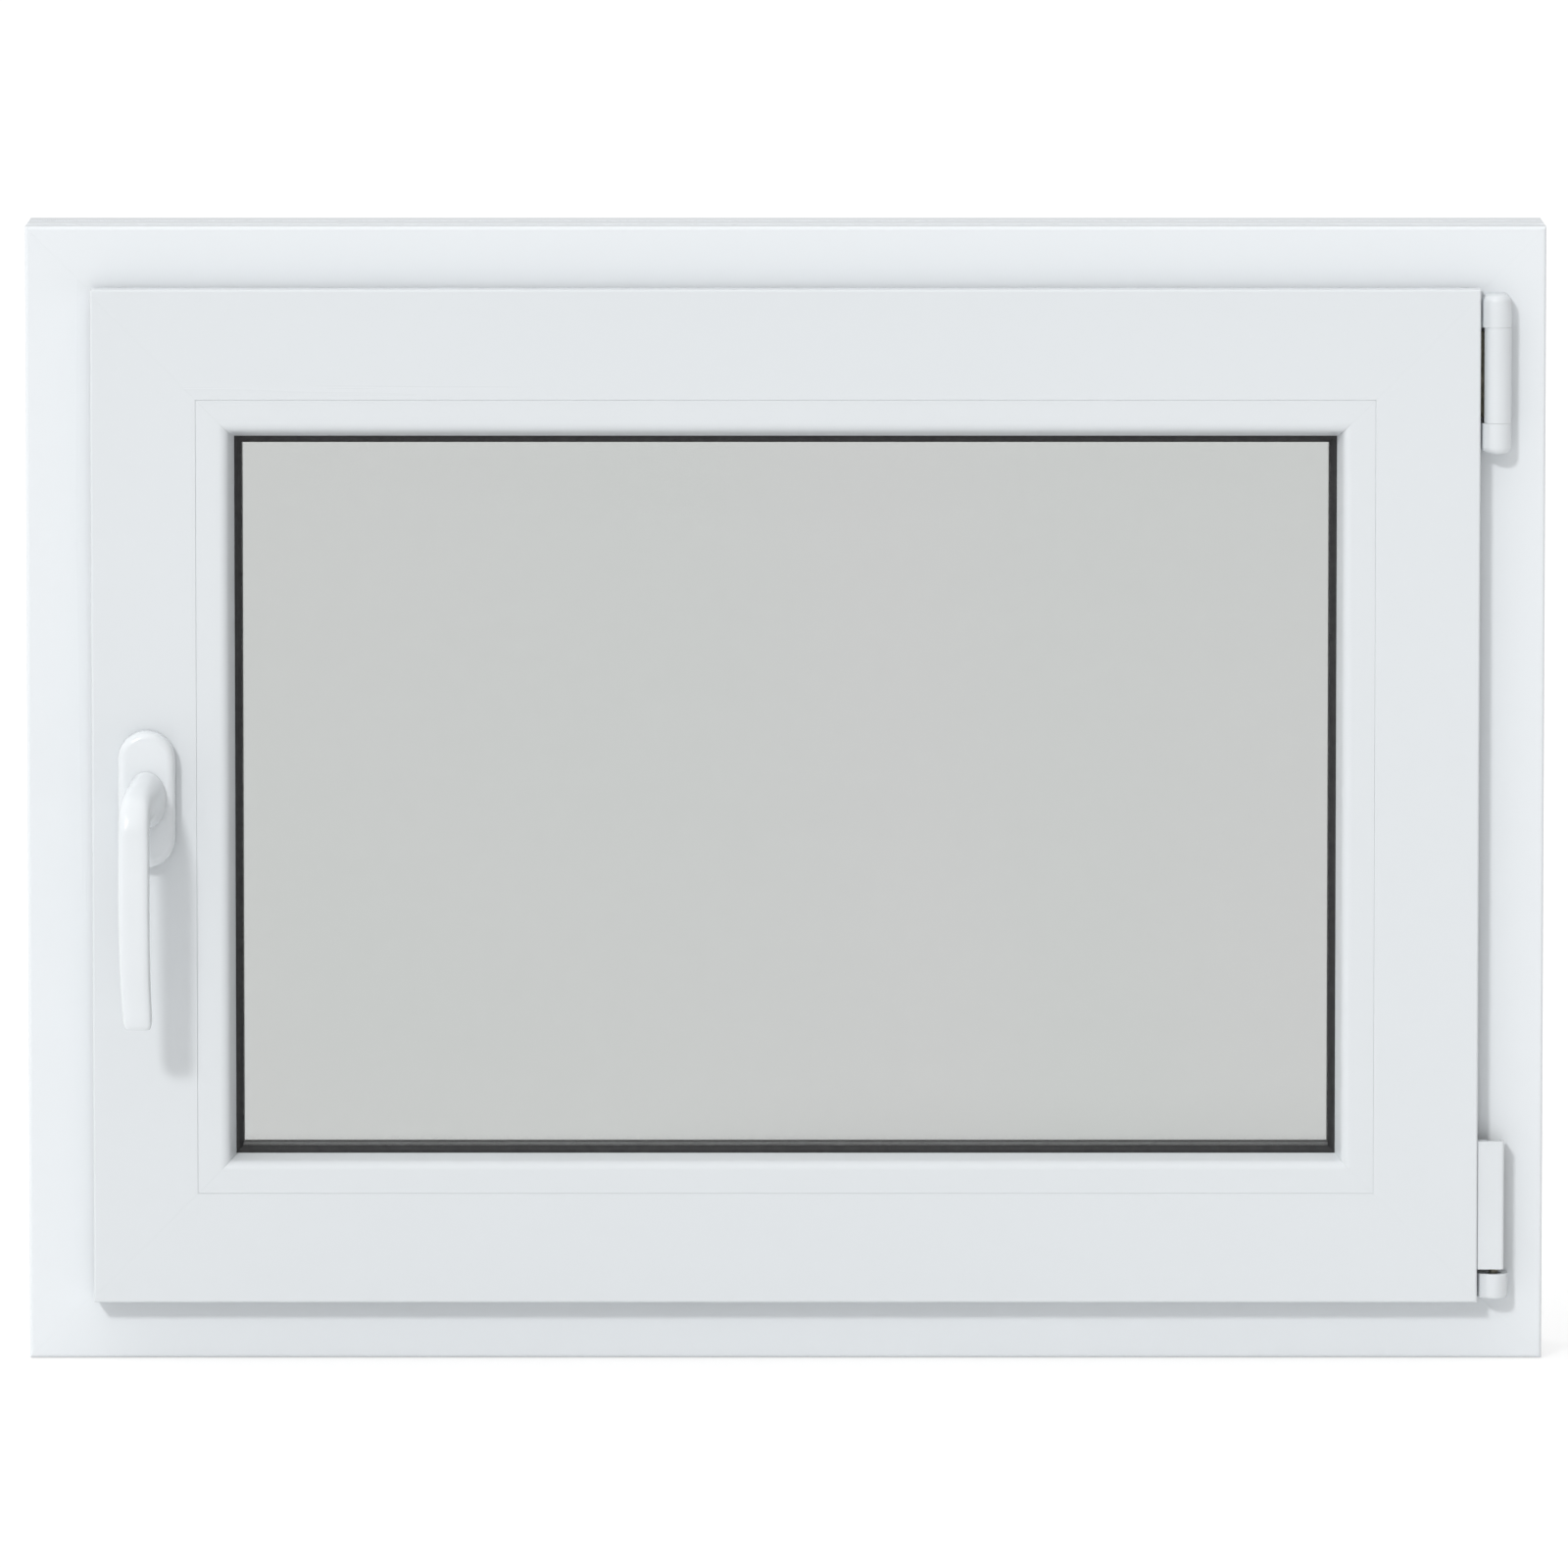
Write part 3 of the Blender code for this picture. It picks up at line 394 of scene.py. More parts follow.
def soften(obj, width):
    """Rounds the sharp edges."""
    modifier = obj.modifiers.new("soft_edges", "BEVEL")
    modifier.width = width * MM
    modifier.segments = 3
    modifier.limit_method = "ANGLE"
    modifier.angle_limit = math.radians(SOFTENED_FROM_DEGREES)
    modifier.harden_normals = True


def shade(obj):
    """Smooth shading that stays flat on large faces."""
    obj.data.shade_smooth()
    obj.data.set_sharp_from_angle(angle=math.radians(SHARP_FROM_DEGREES))
    modifier = obj.modifiers.new("flat_faces_stay_flat", "WEIGHTED_NORMAL")
    modifier.keep_sharp = True
    modifier.weight = 80


def add_piece(name, body, material, shape, replaces=(), cuts=(), solver="EXACT", edge=0.0):
    """A finished piece that rides on a CAD body and takes the place of CAD nodes."""
    obj = add_mesh(name, shape)
    if cuts:
        cut(obj, cuts, solver)
    obj.data.materials.clear()
    obj.data.materials.append(material)
    if edge:
        soften(obj, edge)
        settle(obj)
    shade(obj)
    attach(obj, body)
    if replaces:
        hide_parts(*replaces)


def add_profile(side, node, body, finishes, shape, cuts=(), solver="EXACT"):
    """One of four lengths of a profile, in the finish whose die lines run along it."""
    material = finishes["x" if side in LEVEL_SIDES else "z"]
    add_piece(node + "_profile", body, material, shape, [node], cuts, solver)


# ---------------------------------------------------------------- materials


# Nearly all of a noise lies between these values.
NOISE_LOW = 0.3
NOISE_HIGH = 0.7


class Finish:
    """A material with short names for the nodes that it is put together from."""

    def __init__(self, name):
        self.material = bpy.data.materials.new(name)
        self.material.use_nodes = True
        self.tree = self.material.node_tree
        self.shader = self.tree.nodes["Principled BSDF"]
        self.place = self.tree.nodes.new("ShaderNodeTexCoord").outputs["Object"]

    def set(self, **values):
        for name, value in values.items():
            self.shader.inputs[name.replace("_", " ")].default_value = value

    def link(self, source, target):
        self.tree.links.new(source, target)

    def noise(self, scale, detail=3.0, stretch=(1.0, 1.0, 1.0), distortion=0.0):
        mapping = self.tree.nodes.new("ShaderNodeMapping")
        mapping.inputs["Scale"].default_value = stretch
        texture = self.tree.nodes.new("ShaderNodeTexNoise")
        texture.inputs["Scale"].default_value = scale
        texture.inputs["Detail"].default_value = detail
        texture.inputs["Distortion"].default_value = distortion
        self.link(self.place, mapping.inputs["Vector"])
        self.link(mapping.outputs["Vector"], texture.inputs["Vector"])
        return texture.outputs["Fac"]

    def cells(self, scale):
        texture = self.tree.nodes.new("ShaderNodeTexVoronoi")
        texture.inputs["Scale"].default_value = scale
        self.link(self.place, texture.inputs["Vector"])
        return texture.outputs["Distance"]

    def between(self, factor, low, high):
        """A number that runs from low to high with a noise."""
        spread = self.tree.nodes.new("ShaderNodeMapRange")
        spread.inputs["From Min"].default_value = NOISE_LOW
        spread.inputs["From Max"].default_value = NOISE_HIGH
        spread.inputs["To Min"].default_value = low
        spread.inputs["To Max"].default_value = high
        self.link(factor, spread.inputs["Value"])
        return spread.outputs["Result"]

    def colour_between(self, factor, dark, light):
        ramp = self.tree.nodes.new("ShaderNodeValToRGB")
        ramp.color_ramp.elements[0].position = NOISE_LOW
        ramp.color_ramp.elements[1].position = NOISE_HIGH
        ramp.color_ramp.elements[0].color = (*dark, 1.0)
        ramp.color_ramp.elements[1].color = (*light, 1.0)
        self.link(factor, ramp.inputs["Fac"])
        return ramp.outputs["Color"]

    def paint(self, factor, dark, light):
        self.link(self.colour_between(factor, dark, light), self.shader.inputs["Base Color"])

    def roughen(self, factor, low, high):
        self.link(self.between(factor, low, high), self.shader.inputs["Roughness"])

    def emboss(self, layers):
        """Bump from several (height, depth in mm) layers, the first one lowest."""
        normal = None
        for height, depth in layers:
            bump = self.tree.nodes.new("ShaderNodeBump")
            bump.inputs["Strength"].default_value = 1.0
            bump.inputs["Distance"].default_value = depth * MM
            self.link(height, bump.inputs["Height"])
            if normal:
                self.link(normal, bump.inputs["Normal"])
            normal = bump.outputs["Normal"]
        self.link(normal, self.shader.inputs["Normal"])

    def show_instead(self, rays, other):
        """Shows another shader to one kind of ray."""
        nodes = self.tree.nodes
        path = nodes.new("ShaderNodeLightPath")
        mix = nodes.new("ShaderNodeMixShader")
        self.link(path.outputs[rays], mix.inputs["Fac"])
        self.link(self.shader.outputs["BSDF"], mix.inputs[1])
        self.link(other.outputs["BSDF"], mix.inputs[2])
        self.link(mix.outputs["Shader"], nodes["Material Output"].inputs["Surface"])


def tinted(colour, factor):
    return tuple(channel * factor for channel in colour)


SASH_WHITE = (0.665, 0.692, 0.712)
# The frame's white is lighter than the sash's. This is partly a slightly different tone of the frame's
# plastic, and partly painted light that makes up for the shade the proud sash casts on the frame.
LIGHTENED_FRAME_WHITE = (0.735, 0.763, 0.785)


def profile_white(name, white, along):
    """Extruded plastic: die lines along its length, a faint orange peel and a satin gloss."""
    finish = Finish(name)
    across = {"x": (0.02, 1.0, 1.0), "z": (1.0, 1.0, 0.02)}[along]
    finish.paint(finish.noise(2.5), tinted(white, 0.99), white)
    finish.roughen(finish.noise(40.0, 4.0, across), 0.27, 0.36)
    finish.set(Specular_IOR_Level=0.35)
    die_lines = finish.noise(700.0, 2.0, across)
    orange_peel = finish.noise(260.0, 2.0)
    finish.emboss([(die_lines, 0.004), (orange_peel, 0.006)])
    return finish.material


def moulded_white():
    """Injection-moulded caps: a fine spark-eroded texture, a little duller than the profiles."""
    finish = Finish("cap_white")
    finish.paint(finish.noise(30.0), tinted(SASH_WHITE, 0.98), SASH_WHITE)
    finish.roughen(finish.noise(300.0), 0.34, 0.44)
    finish.emboss([(finish.noise(2600.0, 2.0), 0.006)])
    return finish.material


def powder_coat():
    """The handle's coating: glossy over a soft orange peel."""
    finish = Finish("handle_white")
    finish.paint(finish.noise(25.0), tinted(SASH_WHITE, 1.04), tinted(SASH_WHITE, 1.06))
    finish.roughen(finish.noise(120.0), 0.2, 0.27)
    finish.set(Coat_Weight=0.25, Coat_Roughness=0.12)
    finish.emboss([(finish.noise(420.0, 2.0), 0.012)])
    return finish.material


def rubber():
    finish = Finish("seal_black")
    finish.paint(finish.noise(160.0), (0.008, 0.008, 0.009), (0.018, 0.018, 0.019))
    finish.roughen(finish.noise(420.0), 0.42, 0.6)
    finish.emboss([(finish.noise(1500.0, 3.0), 0.02)])
    return finish.material


def spacer_plastic():
    """The warm-edge spacer: dark plastic with a fine grain."""
    finish = Finish("spacer_dark")
    finish.paint(finish.noise(90.0), (0.04, 0.041, 0.043), (0.075, 0.077, 0.08))
    finish.roughen(finish.noise(300.0), 0.4, 0.55)
    finish.emboss([(finish.noise(900.0, 2.0), 0.02)])
    return finish.material


def glazing():
    """Float glass with a grey tint. Shadow rays pass through the Transparent shader instead."""
    finish = Finish("glass")
    tint = finish.noise(3.2, 1.0, (1.0, 1.0, 0.6), 0.6)
    finish.paint(tint, (0.722, 0.735, 0.727), (0.732, 0.735, 0.733))
    finish.set(Roughness=0.0, IOR=1.5, Transmission_Weight=1.0)
    clear = finish.tree.nodes.new("ShaderNodeBsdfTransparent")
    clear.inputs["Color"].default_value = (0.78, 0.80, 0.79, 1.0)
    finish.show_instead("Is Shadow Ray", clear)
    return finish.material


def zinc():
    """Bright zinc plate: a mottled blue-silver with fine rolling scratches."""
    finish = Finish("zinc")
    finish.paint(finish.noise(60.0, 4.0), (0.52, 0.54, 0.56), (0.68, 0.70, 0.71))
    finish.roughen(finish.noise(220.0, 4.0), 0.24, 0.42)
    finish.set(Metallic=1.0)
    scratches = finish.noise(500.0, 2.0, (0.15, 1.0, 0.15))
    finish.emboss([(scratches, 0.01), (finish.noise(240.0), 0.01)])
    return finish.material


def chromate_with_painted_shade():
    """Passivated steel of the hinges: a dark olive cast with a thin, cloudy film. Part of its darkness is
    painted shade for the slit beside the upper hinge cap.
    """
    finish = Finish("chromate_with_painted_shade")
    finish.paint(finish.noise(180.0, 4.0), (0.13, 0.125, 0.10), (0.26, 0.25, 0.20))
    finish.roughen(finish.noise(300.0, 3.0), 0.34, 0.5)
    finish.set(Metallic=1.0)
    finish.emboss([(finish.noise(700.0), 0.01)])
    return finish.material


def galvanised():
    """Hot-dip zinc with its spangle of crystals."""
    finish = Finish("galvanised")
    finish.paint(finish.cells(140.0), (0.40, 0.42, 0.44), (0.58, 0.60, 0.62))
    finish.roughen(finish.noise(90.0), 0.38, 0.58)
    finish.set(Metallic=1.0)
    finish.emboss([(finish.noise(300.0), 0.01)])
    return finish.material


def grey_plastic():
    finish = Finish("block_grey")
    finish.paint(finish.noise(80.0), (0.2, 0.21, 0.22), (0.27, 0.28, 0.29))
    finish.roughen(finish.noise(300.0), 0.45, 0.6)
    finish.emboss([(finish.noise(1800.0), 0.01)])
    return finish.material


def studio_floor():
    """A pale floor that glows for the camera and in reflections, and bounces light as plain white."""
    finish = Finish("studio_floor")
    finish.paint(finish.noise(0.8), (0.295, 0.295, 0.295), (0.305, 0.305, 0.305))
    finish.roughen(finish.noise(3.0), 0.7, 0.8)
    finish.set(Specular_IOR_Level=0.1)
    finish.set(Emission_Color=(1.0, 1.0, 1.0, 1.0), Emission_Strength=FLOOR_GLOW)
    dull = finish.tree.nodes.new("ShaderNodeBsdfDiffuse")
    dull.inputs["Color"].default_value = (FLOOR_BOUNCE, FLOOR_BOUNCE, FLOOR_BOUNCE, 1.0)
    finish.show_instead("Is Diffuse Ray", dull)
    return finish.material


FRAME_FINISH = {along: profile_white(f"frame_white_{along}", LIGHTENED_FRAME_WHITE, along) for along in "xz"}
SASH_FINISH = {along: profile_white(f"sash_white_{along}", SASH_WHITE, along) for along in "xz"}
CAP = moulded_white()
COAT = powder_coat()
RUBBER = rubber()
SPACER = spacer_plastic()
GLASS = glazing()
ZINC = zinc()
CHROMATE_WITH_PAINTED_SHADE = chromate_with_painted_shade()
GALVANISED = galvanised()
GREY = grey_plastic()


# ---------------------------------------------------------------- frame


def edge_groove(y_first, y_last):
    """A groove in the edge that stands in the wall."""
    return [
        (0.0, y_first, 0.3),
        (EDGE_GROOVE_DEPTH, y_first),
        (EDGE_GROOVE_DEPTH, y_last),
        (0.0, y_last, 0.3),
    ]


def frame_section():
    outline = rounded(
        [
            (0.0, ROOM_FACE, 2.0),
            (REBATE_U, ROOM_FACE, 2.0),
            (REBATE_U, STOP_FACE, 0.4),
            (SEAL_GROOVE_U[0], STOP_FACE, 0.4),
            (SEAL_GROOVE_U[0], SEAL_GROOVE_FLOOR),
            (SEAL_GROOVE_U[1], SEAL_GROOVE_FLOOR),
            (SEAL_GROOVE_U[1], STOP_FACE, 0.4),
            (66.5, STOP_FACE, 0.6),
            (68.0, 19.0, 0.6),
            (66.0, OUTSIDE_FACE, 1.5),
            (0.0, OUTSIDE_FACE, 1.4),
            *edge_groove(14.0, 8.0),
            *edge_groove(-14.0, -20.0),
        ]
    )
    room_chamber = rectangle(WALL, REBATE_U - WALL, ROOM_FACE + WALL, -24.0)
    steel_chamber = rectangle(6.0, REBATE_U - WALL, -21.0, 14.0)
    outside_chamber = rectangle(WALL, REBATE_U - WALL, STOP_FACE, OUTSIDE_FACE - WALL)
    stop_chamber = rectangle(REBATE_U, 63.5, SEAL_GROOVE_FLOOR + WALL, OUTSIDE_FACE - WALL)
    return outline, [room_chamber, steel_chamber, outside_chamber, stop_chamber]


def lying_slot(x, z, half_width, half_height):
    """A slot shape that lies on its side."""
    return [(x + b, z - a) for a, b in stadium(0.0, 0.0, half_height, half_width, steps=10)]


def drainage_slots():
    """Two slots in the outside of the sill that let water out of the chamber."""
    slots = [lying_slot(x, DRAIN_Z, 13.0, 2.5) for x in (-DRAIN_X, DRAIN_X)]
    return [along_y(slot, OUTSIDE_FACE - 4.0, OUTSIDE_FACE + 1.0) for slot in slots]


def build_frame():
    outline, chambers = frame_section()
    nodes = ("frame_head", "frame_sill", "frame_jamb_handle_side", "frame_jamb_hinge_side")
    for side, node in zip(SIDES, nodes):
        cuts = drainage_slots() if side == "sill" else ()
        shape = mitred(side, outline, chambers)
        add_profile(side, node, "frame", FRAME_FINISH, shape, cuts)
    bulb = rounded(
        [
            (59.4, 19.6),
            (59.4, 16.6),
            (57.0, 16.6, 0.6),
            (58.0, 14.1, 0.9),
            (63.0, 14.1, 1.2),
            (64.5, 16.6, 0.5),
            (61.6, 16.6),
            (61.6, 19.6),
        ],
        steps=5,
    )
    add_piece("frame_seal_bulb", "frame", RUBBER, ring(bulb), ["frame_seal"])


# ---------------------------------------------------------------- sash


def sash_section(edge_u):
    outline = rounded(
        [
            (edge_u, SASH_ROOM_FACE, SASH_FILLET),
            (GLAZING_U, SASH_ROOM_FACE, 0.2),
            (GLAZING_U, BEAD_GROOVE_FRONT),
            (BEAD_GROOVE_U, BEAD_GROOVE_FRONT),
            (BEAD_GROOVE_U, BEAD_GROOVE_BACK),
            (GLAZING_U, BEAD_GROOVE_BACK),
            (GLAZING_U, LIP_FACE),
            (111.0, LIP_FACE, 0.4),
            (112.0, -6.0, 0.4),
            (108.5, SASH_OUTSIDE_FACE, 1.5),
            (HARDWARE_U, SASH_OUTSIDE_FACE, 1.0),
            (HARDWARE_U, PLATE_BACK, 0.3),
            (PLATE_U, PLATE_BACK),
            (PLATE_U, GROOVE_BACK),
            (GROOVE_U, GROOVE_BACK),
            (GROOVE_U, GROOVE_FRONT),
            (PLATE_U, GROOVE_FRONT),
            (PLATE_U, PLATE_FRONT),
            (HARDWARE_U, PLATE_FRONT, 0.3),
            (HARDWARE_U, FLANGE_BACK, 0.5),
            (edge_u, FLANGE_BACK, 1.0),
        ]
    )
    steel_back = SASH_OUTSIDE_FACE - WALL
    flange_chamber = rectangle(edge_u + WALL, 84.0, -50.2, FLANGE_BACK - WALL)
    gearbox_chamber = rectangle(GEARBOX_U, GLAZING_U - WALL, -38.0, -18.0)
    steel_chamber = rectangle(55.5, GLAZING_U - WALL, -14.0, steel_back)
    lip_chamber = [(90.5, -5.0), (109.0, -5.0), (106.0, steel_back), (90.5, steel_back)]
    return outline, [flange_chamber, gearbox_chamber, steel_chamber, lip_chamber]


def gearbox_cuts():
    """The pocket for the gearbox, and the holes for the spindle and the two handle screws."""
    case_low, case_high = node_box("gearbox_case")
    pocket_low = (GROOVE_U - 1.0 - HALF_WIDTH, case_low.y - 0.4, case_low.z - 6.0)
    pocket_high = (GEARBOX_U + 1.0 - HALF_WIDTH, case_high.y + 0.4, case_high.z + 6.0)
    holes = [circle(HANDLE.x, HANDLE.z, SPINDLE_HOLE, 32)]
    for end in (-1, 1):
        z = HANDLE.z + end * HANDLE_SCREW_SPACING / 2
        holes.append(circle(HANDLE.x, z, HANDLE_SCREW_HOLE, 20))
    drilled = [along_y(hole, SASH_ROOM_FACE - 1.0, GROOVE_FRONT + 2.0) for hole in holes]
    return [box(pocket_low, pocket_high), *drilled]


def rail_tips():
    """The tips of a rail's mitred ends that stand past the stiles, up to the stiles' rounded edge."""
    across = HALF_WIDTH - STILE_EDGE_U
    back = FLANGE_BACK + 1.0
    front = SASH_ROOM_FACE - 1.0
    middle = (across - SASH_FILLET, SASH_ROOM_FACE + SASH_FILLET)
    right = [(across, back), *arc(*middle, SASH_FILLET, 0.0, -90.0, ARC_STEPS)]
    right += [(across - SASH_FILLET, front), (across + 10.0, front), (across + 10.0, back)]
    left = [(-x, y) for x, y in right]
    return [along_z(left, 0.0, FRAME_HEIGHT), along_z(right, 0.0, FRAME_HEIGHT)]


def beside_hinges(z):
    """An end of a seal on the hinge side, at one height."""
    return lambda u, y: (HALF_WIDTH - u, y, z)


def seal_route():
    """The corners of the long sash seal, from above the upper hinge round to below the lower one."""
    return [
        beside_hinges(SEAL_END_HIGH),
        lambda u, y: (HALF_WIDTH - u, y, FRAME_HEIGHT - u),
        lambda u, y: (u - HALF_WIDTH, y, FRAME_HEIGHT - u),
        lambda u, y: (u - HALF_WIDTH, y, u),
        lambda u, y: (HALF_WIDTH - u, y, u),
        beside_hinges(SEAL_END_LOW),
    ]


def build_sash():
    nodes = ("sash_top_rail", "sash_bottom_rail", "sash_stile_handle_side", "sash_stile_hinge_side")
    cuts = {"head": rail_tips(), "sill": rail_tips(), "handle": gearbox_cuts(), "hinge": ()}
    for side, node in zip(SIDES, nodes):
        outline, chambers = sash_section(RAIL_EDGE_U if side in LEVEL_SIDES else STILE_EDGE_U)
        shape = mitred(side, outline, chambers)
        add_profile(side, node, "sash", SASH_FINISH, shape, cuts[side], "MANIFOLD")

    flap = rounded([(36.8, -37.7), (41.0, -37.7), (40.0, -36.0, 0.5), (37.6, -36.0, 0.5)], steps=5)
    shape = open_run(flap, seal_route())
    add_piece("sash_seal_flap", "sash", RUBBER, shape, ["sash_seal"])
    node = "sash_seal_between_hinges"
    low, high = node_box(node)
    shape = open_run(flap, [beside_hinges(low.z), beside_hinges(high.z)])
    add_piece("sash_seal_flap_between_hinges", "sash", RUBBER, shape, [node])


# ---------------------------------------------------------------- glazing


def build_beads():
    foot_u = BEAD_GROOVE_U + BEAD_FIT
    foot_front = BEAD_GROOVE_FRONT + BEAD_FIT
    foot_back = BEAD_GROOVE_BACK - BEAD_FIT
    bead = rounded(
        [
            (GLAZING_U + BEAD_JOINT, SASH_ROOM_FACE + 0.25, 0.2),
            (106.2, SASH_ROOM_FACE + 0.1, 5.5),
            (BEAD_EDGE_U, BEAD_BACK, 0.3),
            (93.0, BEAD_BACK),
            (93.0, foot_back),
            (foot_u, foot_back, 0.3),
            (foot_u, foot_front, 0.3),
            (GLAZING_U + BEAD_JOINT, foot_front),
        ]
    )
    chamber = [(93.0, -50.2), (103.0, -50.2), (106.2, -41.4), (95.4, -41.4)]
    nodes = ("bead_top", "bead_bottom", "bead_handle_side", "bead_hinge_side")
    for side, node in zip(SIDES, nodes):
        add_profile(side, node, "sash", SASH_FINISH, mitred(side, bead, [chamber]))


def pane(y_low, y_high, edge_u):
    """A sheet of glass with ground edges."""
    across = HALF_WIDTH - edge_u
    top = FRAME_HEIGHT - edge_u
    rings = []
    for y, back in ((y_low, ARRIS), (y_low + ARRIS, 0.0), (y_high - ARRIS, 0.0), (y_high, ARRIS)):
        outline = rectangle(back - across, across - back, edge_u + back, top - back)
        rings.append([(x, y, z) for x, z in outline])
    return loft(rings, [rectangle(-across, across, edge_u, top)])


def build_glass():
    for node in ("glass_pane_room", "glass_pane_outside"):
        low, high = node_box(node)
        shape = pane(low.y, high.y, low.z)
        add_piece(node + "_sheet", "sash", GLASS, shape, [node])
    front = BEAD_BACK + GAP
    back = node_box("glazing_seal_room")[1].y
    lip = rounded(
        [
            (98.0, front),
            (111.4, front),
            (113.6, -36.2, 0.6),
            (113.2, back, 0.3),
            (98.0, back),
        ],
        steps=5,
    )
    add_piece("glazing_seal_lip", "sash", RUBBER, ring(lip), ["glazing_seal_room"])
    low, high = node_box("glazing_seal_outside")
    pad = rectangle(low.z, 113.4, low.y, high.y, 0.5, steps=4)
    add_piece("glazing_seal_pad", "sash", RUBBER, ring(pad), ["glazing_seal_outside"])


# ---------------------------------------------------------------- hinges


def cap_outline(radius, wing=0.0):
    """The plan of a hinge cap: round towards the room, straight back to the frame.

    A wing bulges towards the sash and nearly closes the gap, just inside the circle that the sash's
    edge sweeps as it turns.
    """
    back = [(HINGE.x + radius, CAP_BACK), (HINGE.x - radius, CAP_BACK)]
    if not wing:
        return [*arc(HINGE.x, HINGE.y, radius, 180.0, 360.0, 32), *back]
    side = arc(HINGE.x, HINGE.y, wing, 150.0, 208.0, 16)
    front = arc(HINGE.x, HINGE.y, radius, 226.0, 360.0, 32)
    return [*side, *front, *back]


def domed_cap(open_end, domed_end, fillet):
    """A cap whose far end rounds over. The plan shrinks towards the middle of its back."""
    plan = cap_outline(CAP_RADIUS, CAP_WING)
    towards_open = math.copysign(1.0, open_end - domed_end)
    depth = CAP_BACK - (HINGE.y - CAP_RADIUS)
    middle = HINGE.x
    rings = [[(x, y, open_end) for x, y in plan]]
    steps = 10
    for step in range(steps + 1):
        turn = math.pi / 2 * step / steps
        back = fillet * (1 - math.cos(turn))
        z = domed_end + towards_open * fillet * (1 - math.sin(turn))
        narrow = 1 - back / CAP_RADIUS
        shallow = 1 - back / depth
        rings.append(
            [(middle + (x - middle) * narrow, CAP_BACK + (y - CAP_BACK) * shallow, z) for x, y in plan]
        )
    return loft(rings, [plan])


def cap_hollow():
    """The room inside a cap, open at its back."""
    past_back = 1.0
    inner = cap_outline(CAP_RADIUS - CAP_WALL)
    return [(x, y + (past_back if y > HINGE.y + 1.0 else 0.0)) for x, y in inner]


def add_cap(name, body, shape, node, cuts=(), edge=0.0):
    add_piece(name, body, CAP, shape, [node], cuts, edge=edge)


def build_upper_hinge():
    end_fillet = 4.2
    end_wall = 4.6
    upper_low, upper_high = node_box("stay_hinge_cap_upper")
    shape = domed_cap(upper_low.z, upper_high.z, end_fillet)
    hollow = along_z(cap_hollow(), upper_low.z - 2.0, upper_high.z - end_wall)
    add_cap("upper_hinge_cap_top", "frame", shape, "stay_hinge_cap_upper", [hollow])

    lower_low, lower_high = node_box("stay_hinge_cap_lower")
    shape = domed_cap(lower_high.z, lower_low.z, end_fillet)
    hollow = along_z(cap_hollow(), lower_low.z + end_wall, lower_high.z + 2.0)
    add_cap("upper_hinge_cap_bottom", "frame", shape, "stay_hinge_cap_lower", [hollow])

    shell = arc(HINGE.x, HINGE.y, CAP_RADIUS, 202.0, 420.0, 48)
    shell += arc(HINGE.x, HINGE.y, CAP_RADIUS - CAP_WALL, 420.0, 202.0, 48)
    shape = along_z(shell, lower_high.z + CAP_SEAM, upper_low.z - CAP_SEAM)
    add_cap("stay_arm_cap_shell", "stay", shape, "stay_arm_cap")


def build_lower_hinge():
    end_fillet = 1.6
    pin_hole = 3.9
    sleeve_radius = 4.1
    low, high = node_box("pivot_rest_cap")
    shape = domed_cap(high.z, low.z, end_fillet)
    hollow = along_z(cap_hollow(), low.z + end_fillet, high.z - 0.9)
    mouth = along_z(circle(HINGE.x, HINGE.y, pin_hole), high.z - 3.0, high.z + 2.0)
    add_cap("lower_hinge_cap_base", "frame", shape, "pivot_rest_cap", [hollow, mouth])

    low, high = node_box("corner_hinge_cap")
    beside_sash = node_box("sash_stile_hinge_side")[1].x + GAP / 2
    cover = rounded(
        [
            (high.x, high.y),
            (high.x, low.y, 1.6),
            (beside_sash, low.y, 0.6),
            (beside_sash, -42.4, 0.6),
        ]
    )
    cover += arc(HINGE.x, HINGE.y, sleeve_radius, 160.0, 400.0, 40)
    shape = along_z(cover, low.z, high.z)
    add_cap("lower_hinge_cap_bar", "sash", shape, "corner_hinge_cap", edge=0.6)


# ---------------------------------------------------------------- handle


def build_rosette():
    low, high = node_box("rosette_cover")
    half_width, half_height = (high.x - low.x) / 2, (high.z - low.z) / 2
    front, back = low.y, high.y

    def outline(inward):
        return stadium(HANDLE.x, HANDLE.z, half_width - inward, half_height - inward)

    rings = [[(x, back, z) for x, z in outline(0.0)]]
    steps = 12
    for step in range(steps + 1):
        turn = math.pi / 2 * step / steps
        y = front + ROSETTE_FILLET * (1 - math.sin(turn))
        rings.append([(x, y, z) for x, z in outline(ROSETTE_FILLET * (1 - math.cos(turn)))])
    shape = loft(rings, [outline(0.0)])
    inside = along_y(outline(ROSETTE_WALL), front + ROSETTE_FACE_WALL, back + 2.0)
    bore = along_y(circle(HANDLE.x, HANDLE.z, ROSETTE_BORE), front - 2.0, back)
    cuts = [inside, bore]
    add_piece("rosette_cover_shell", "sash", COAT, shape, ["rosette_cover"], cuts)


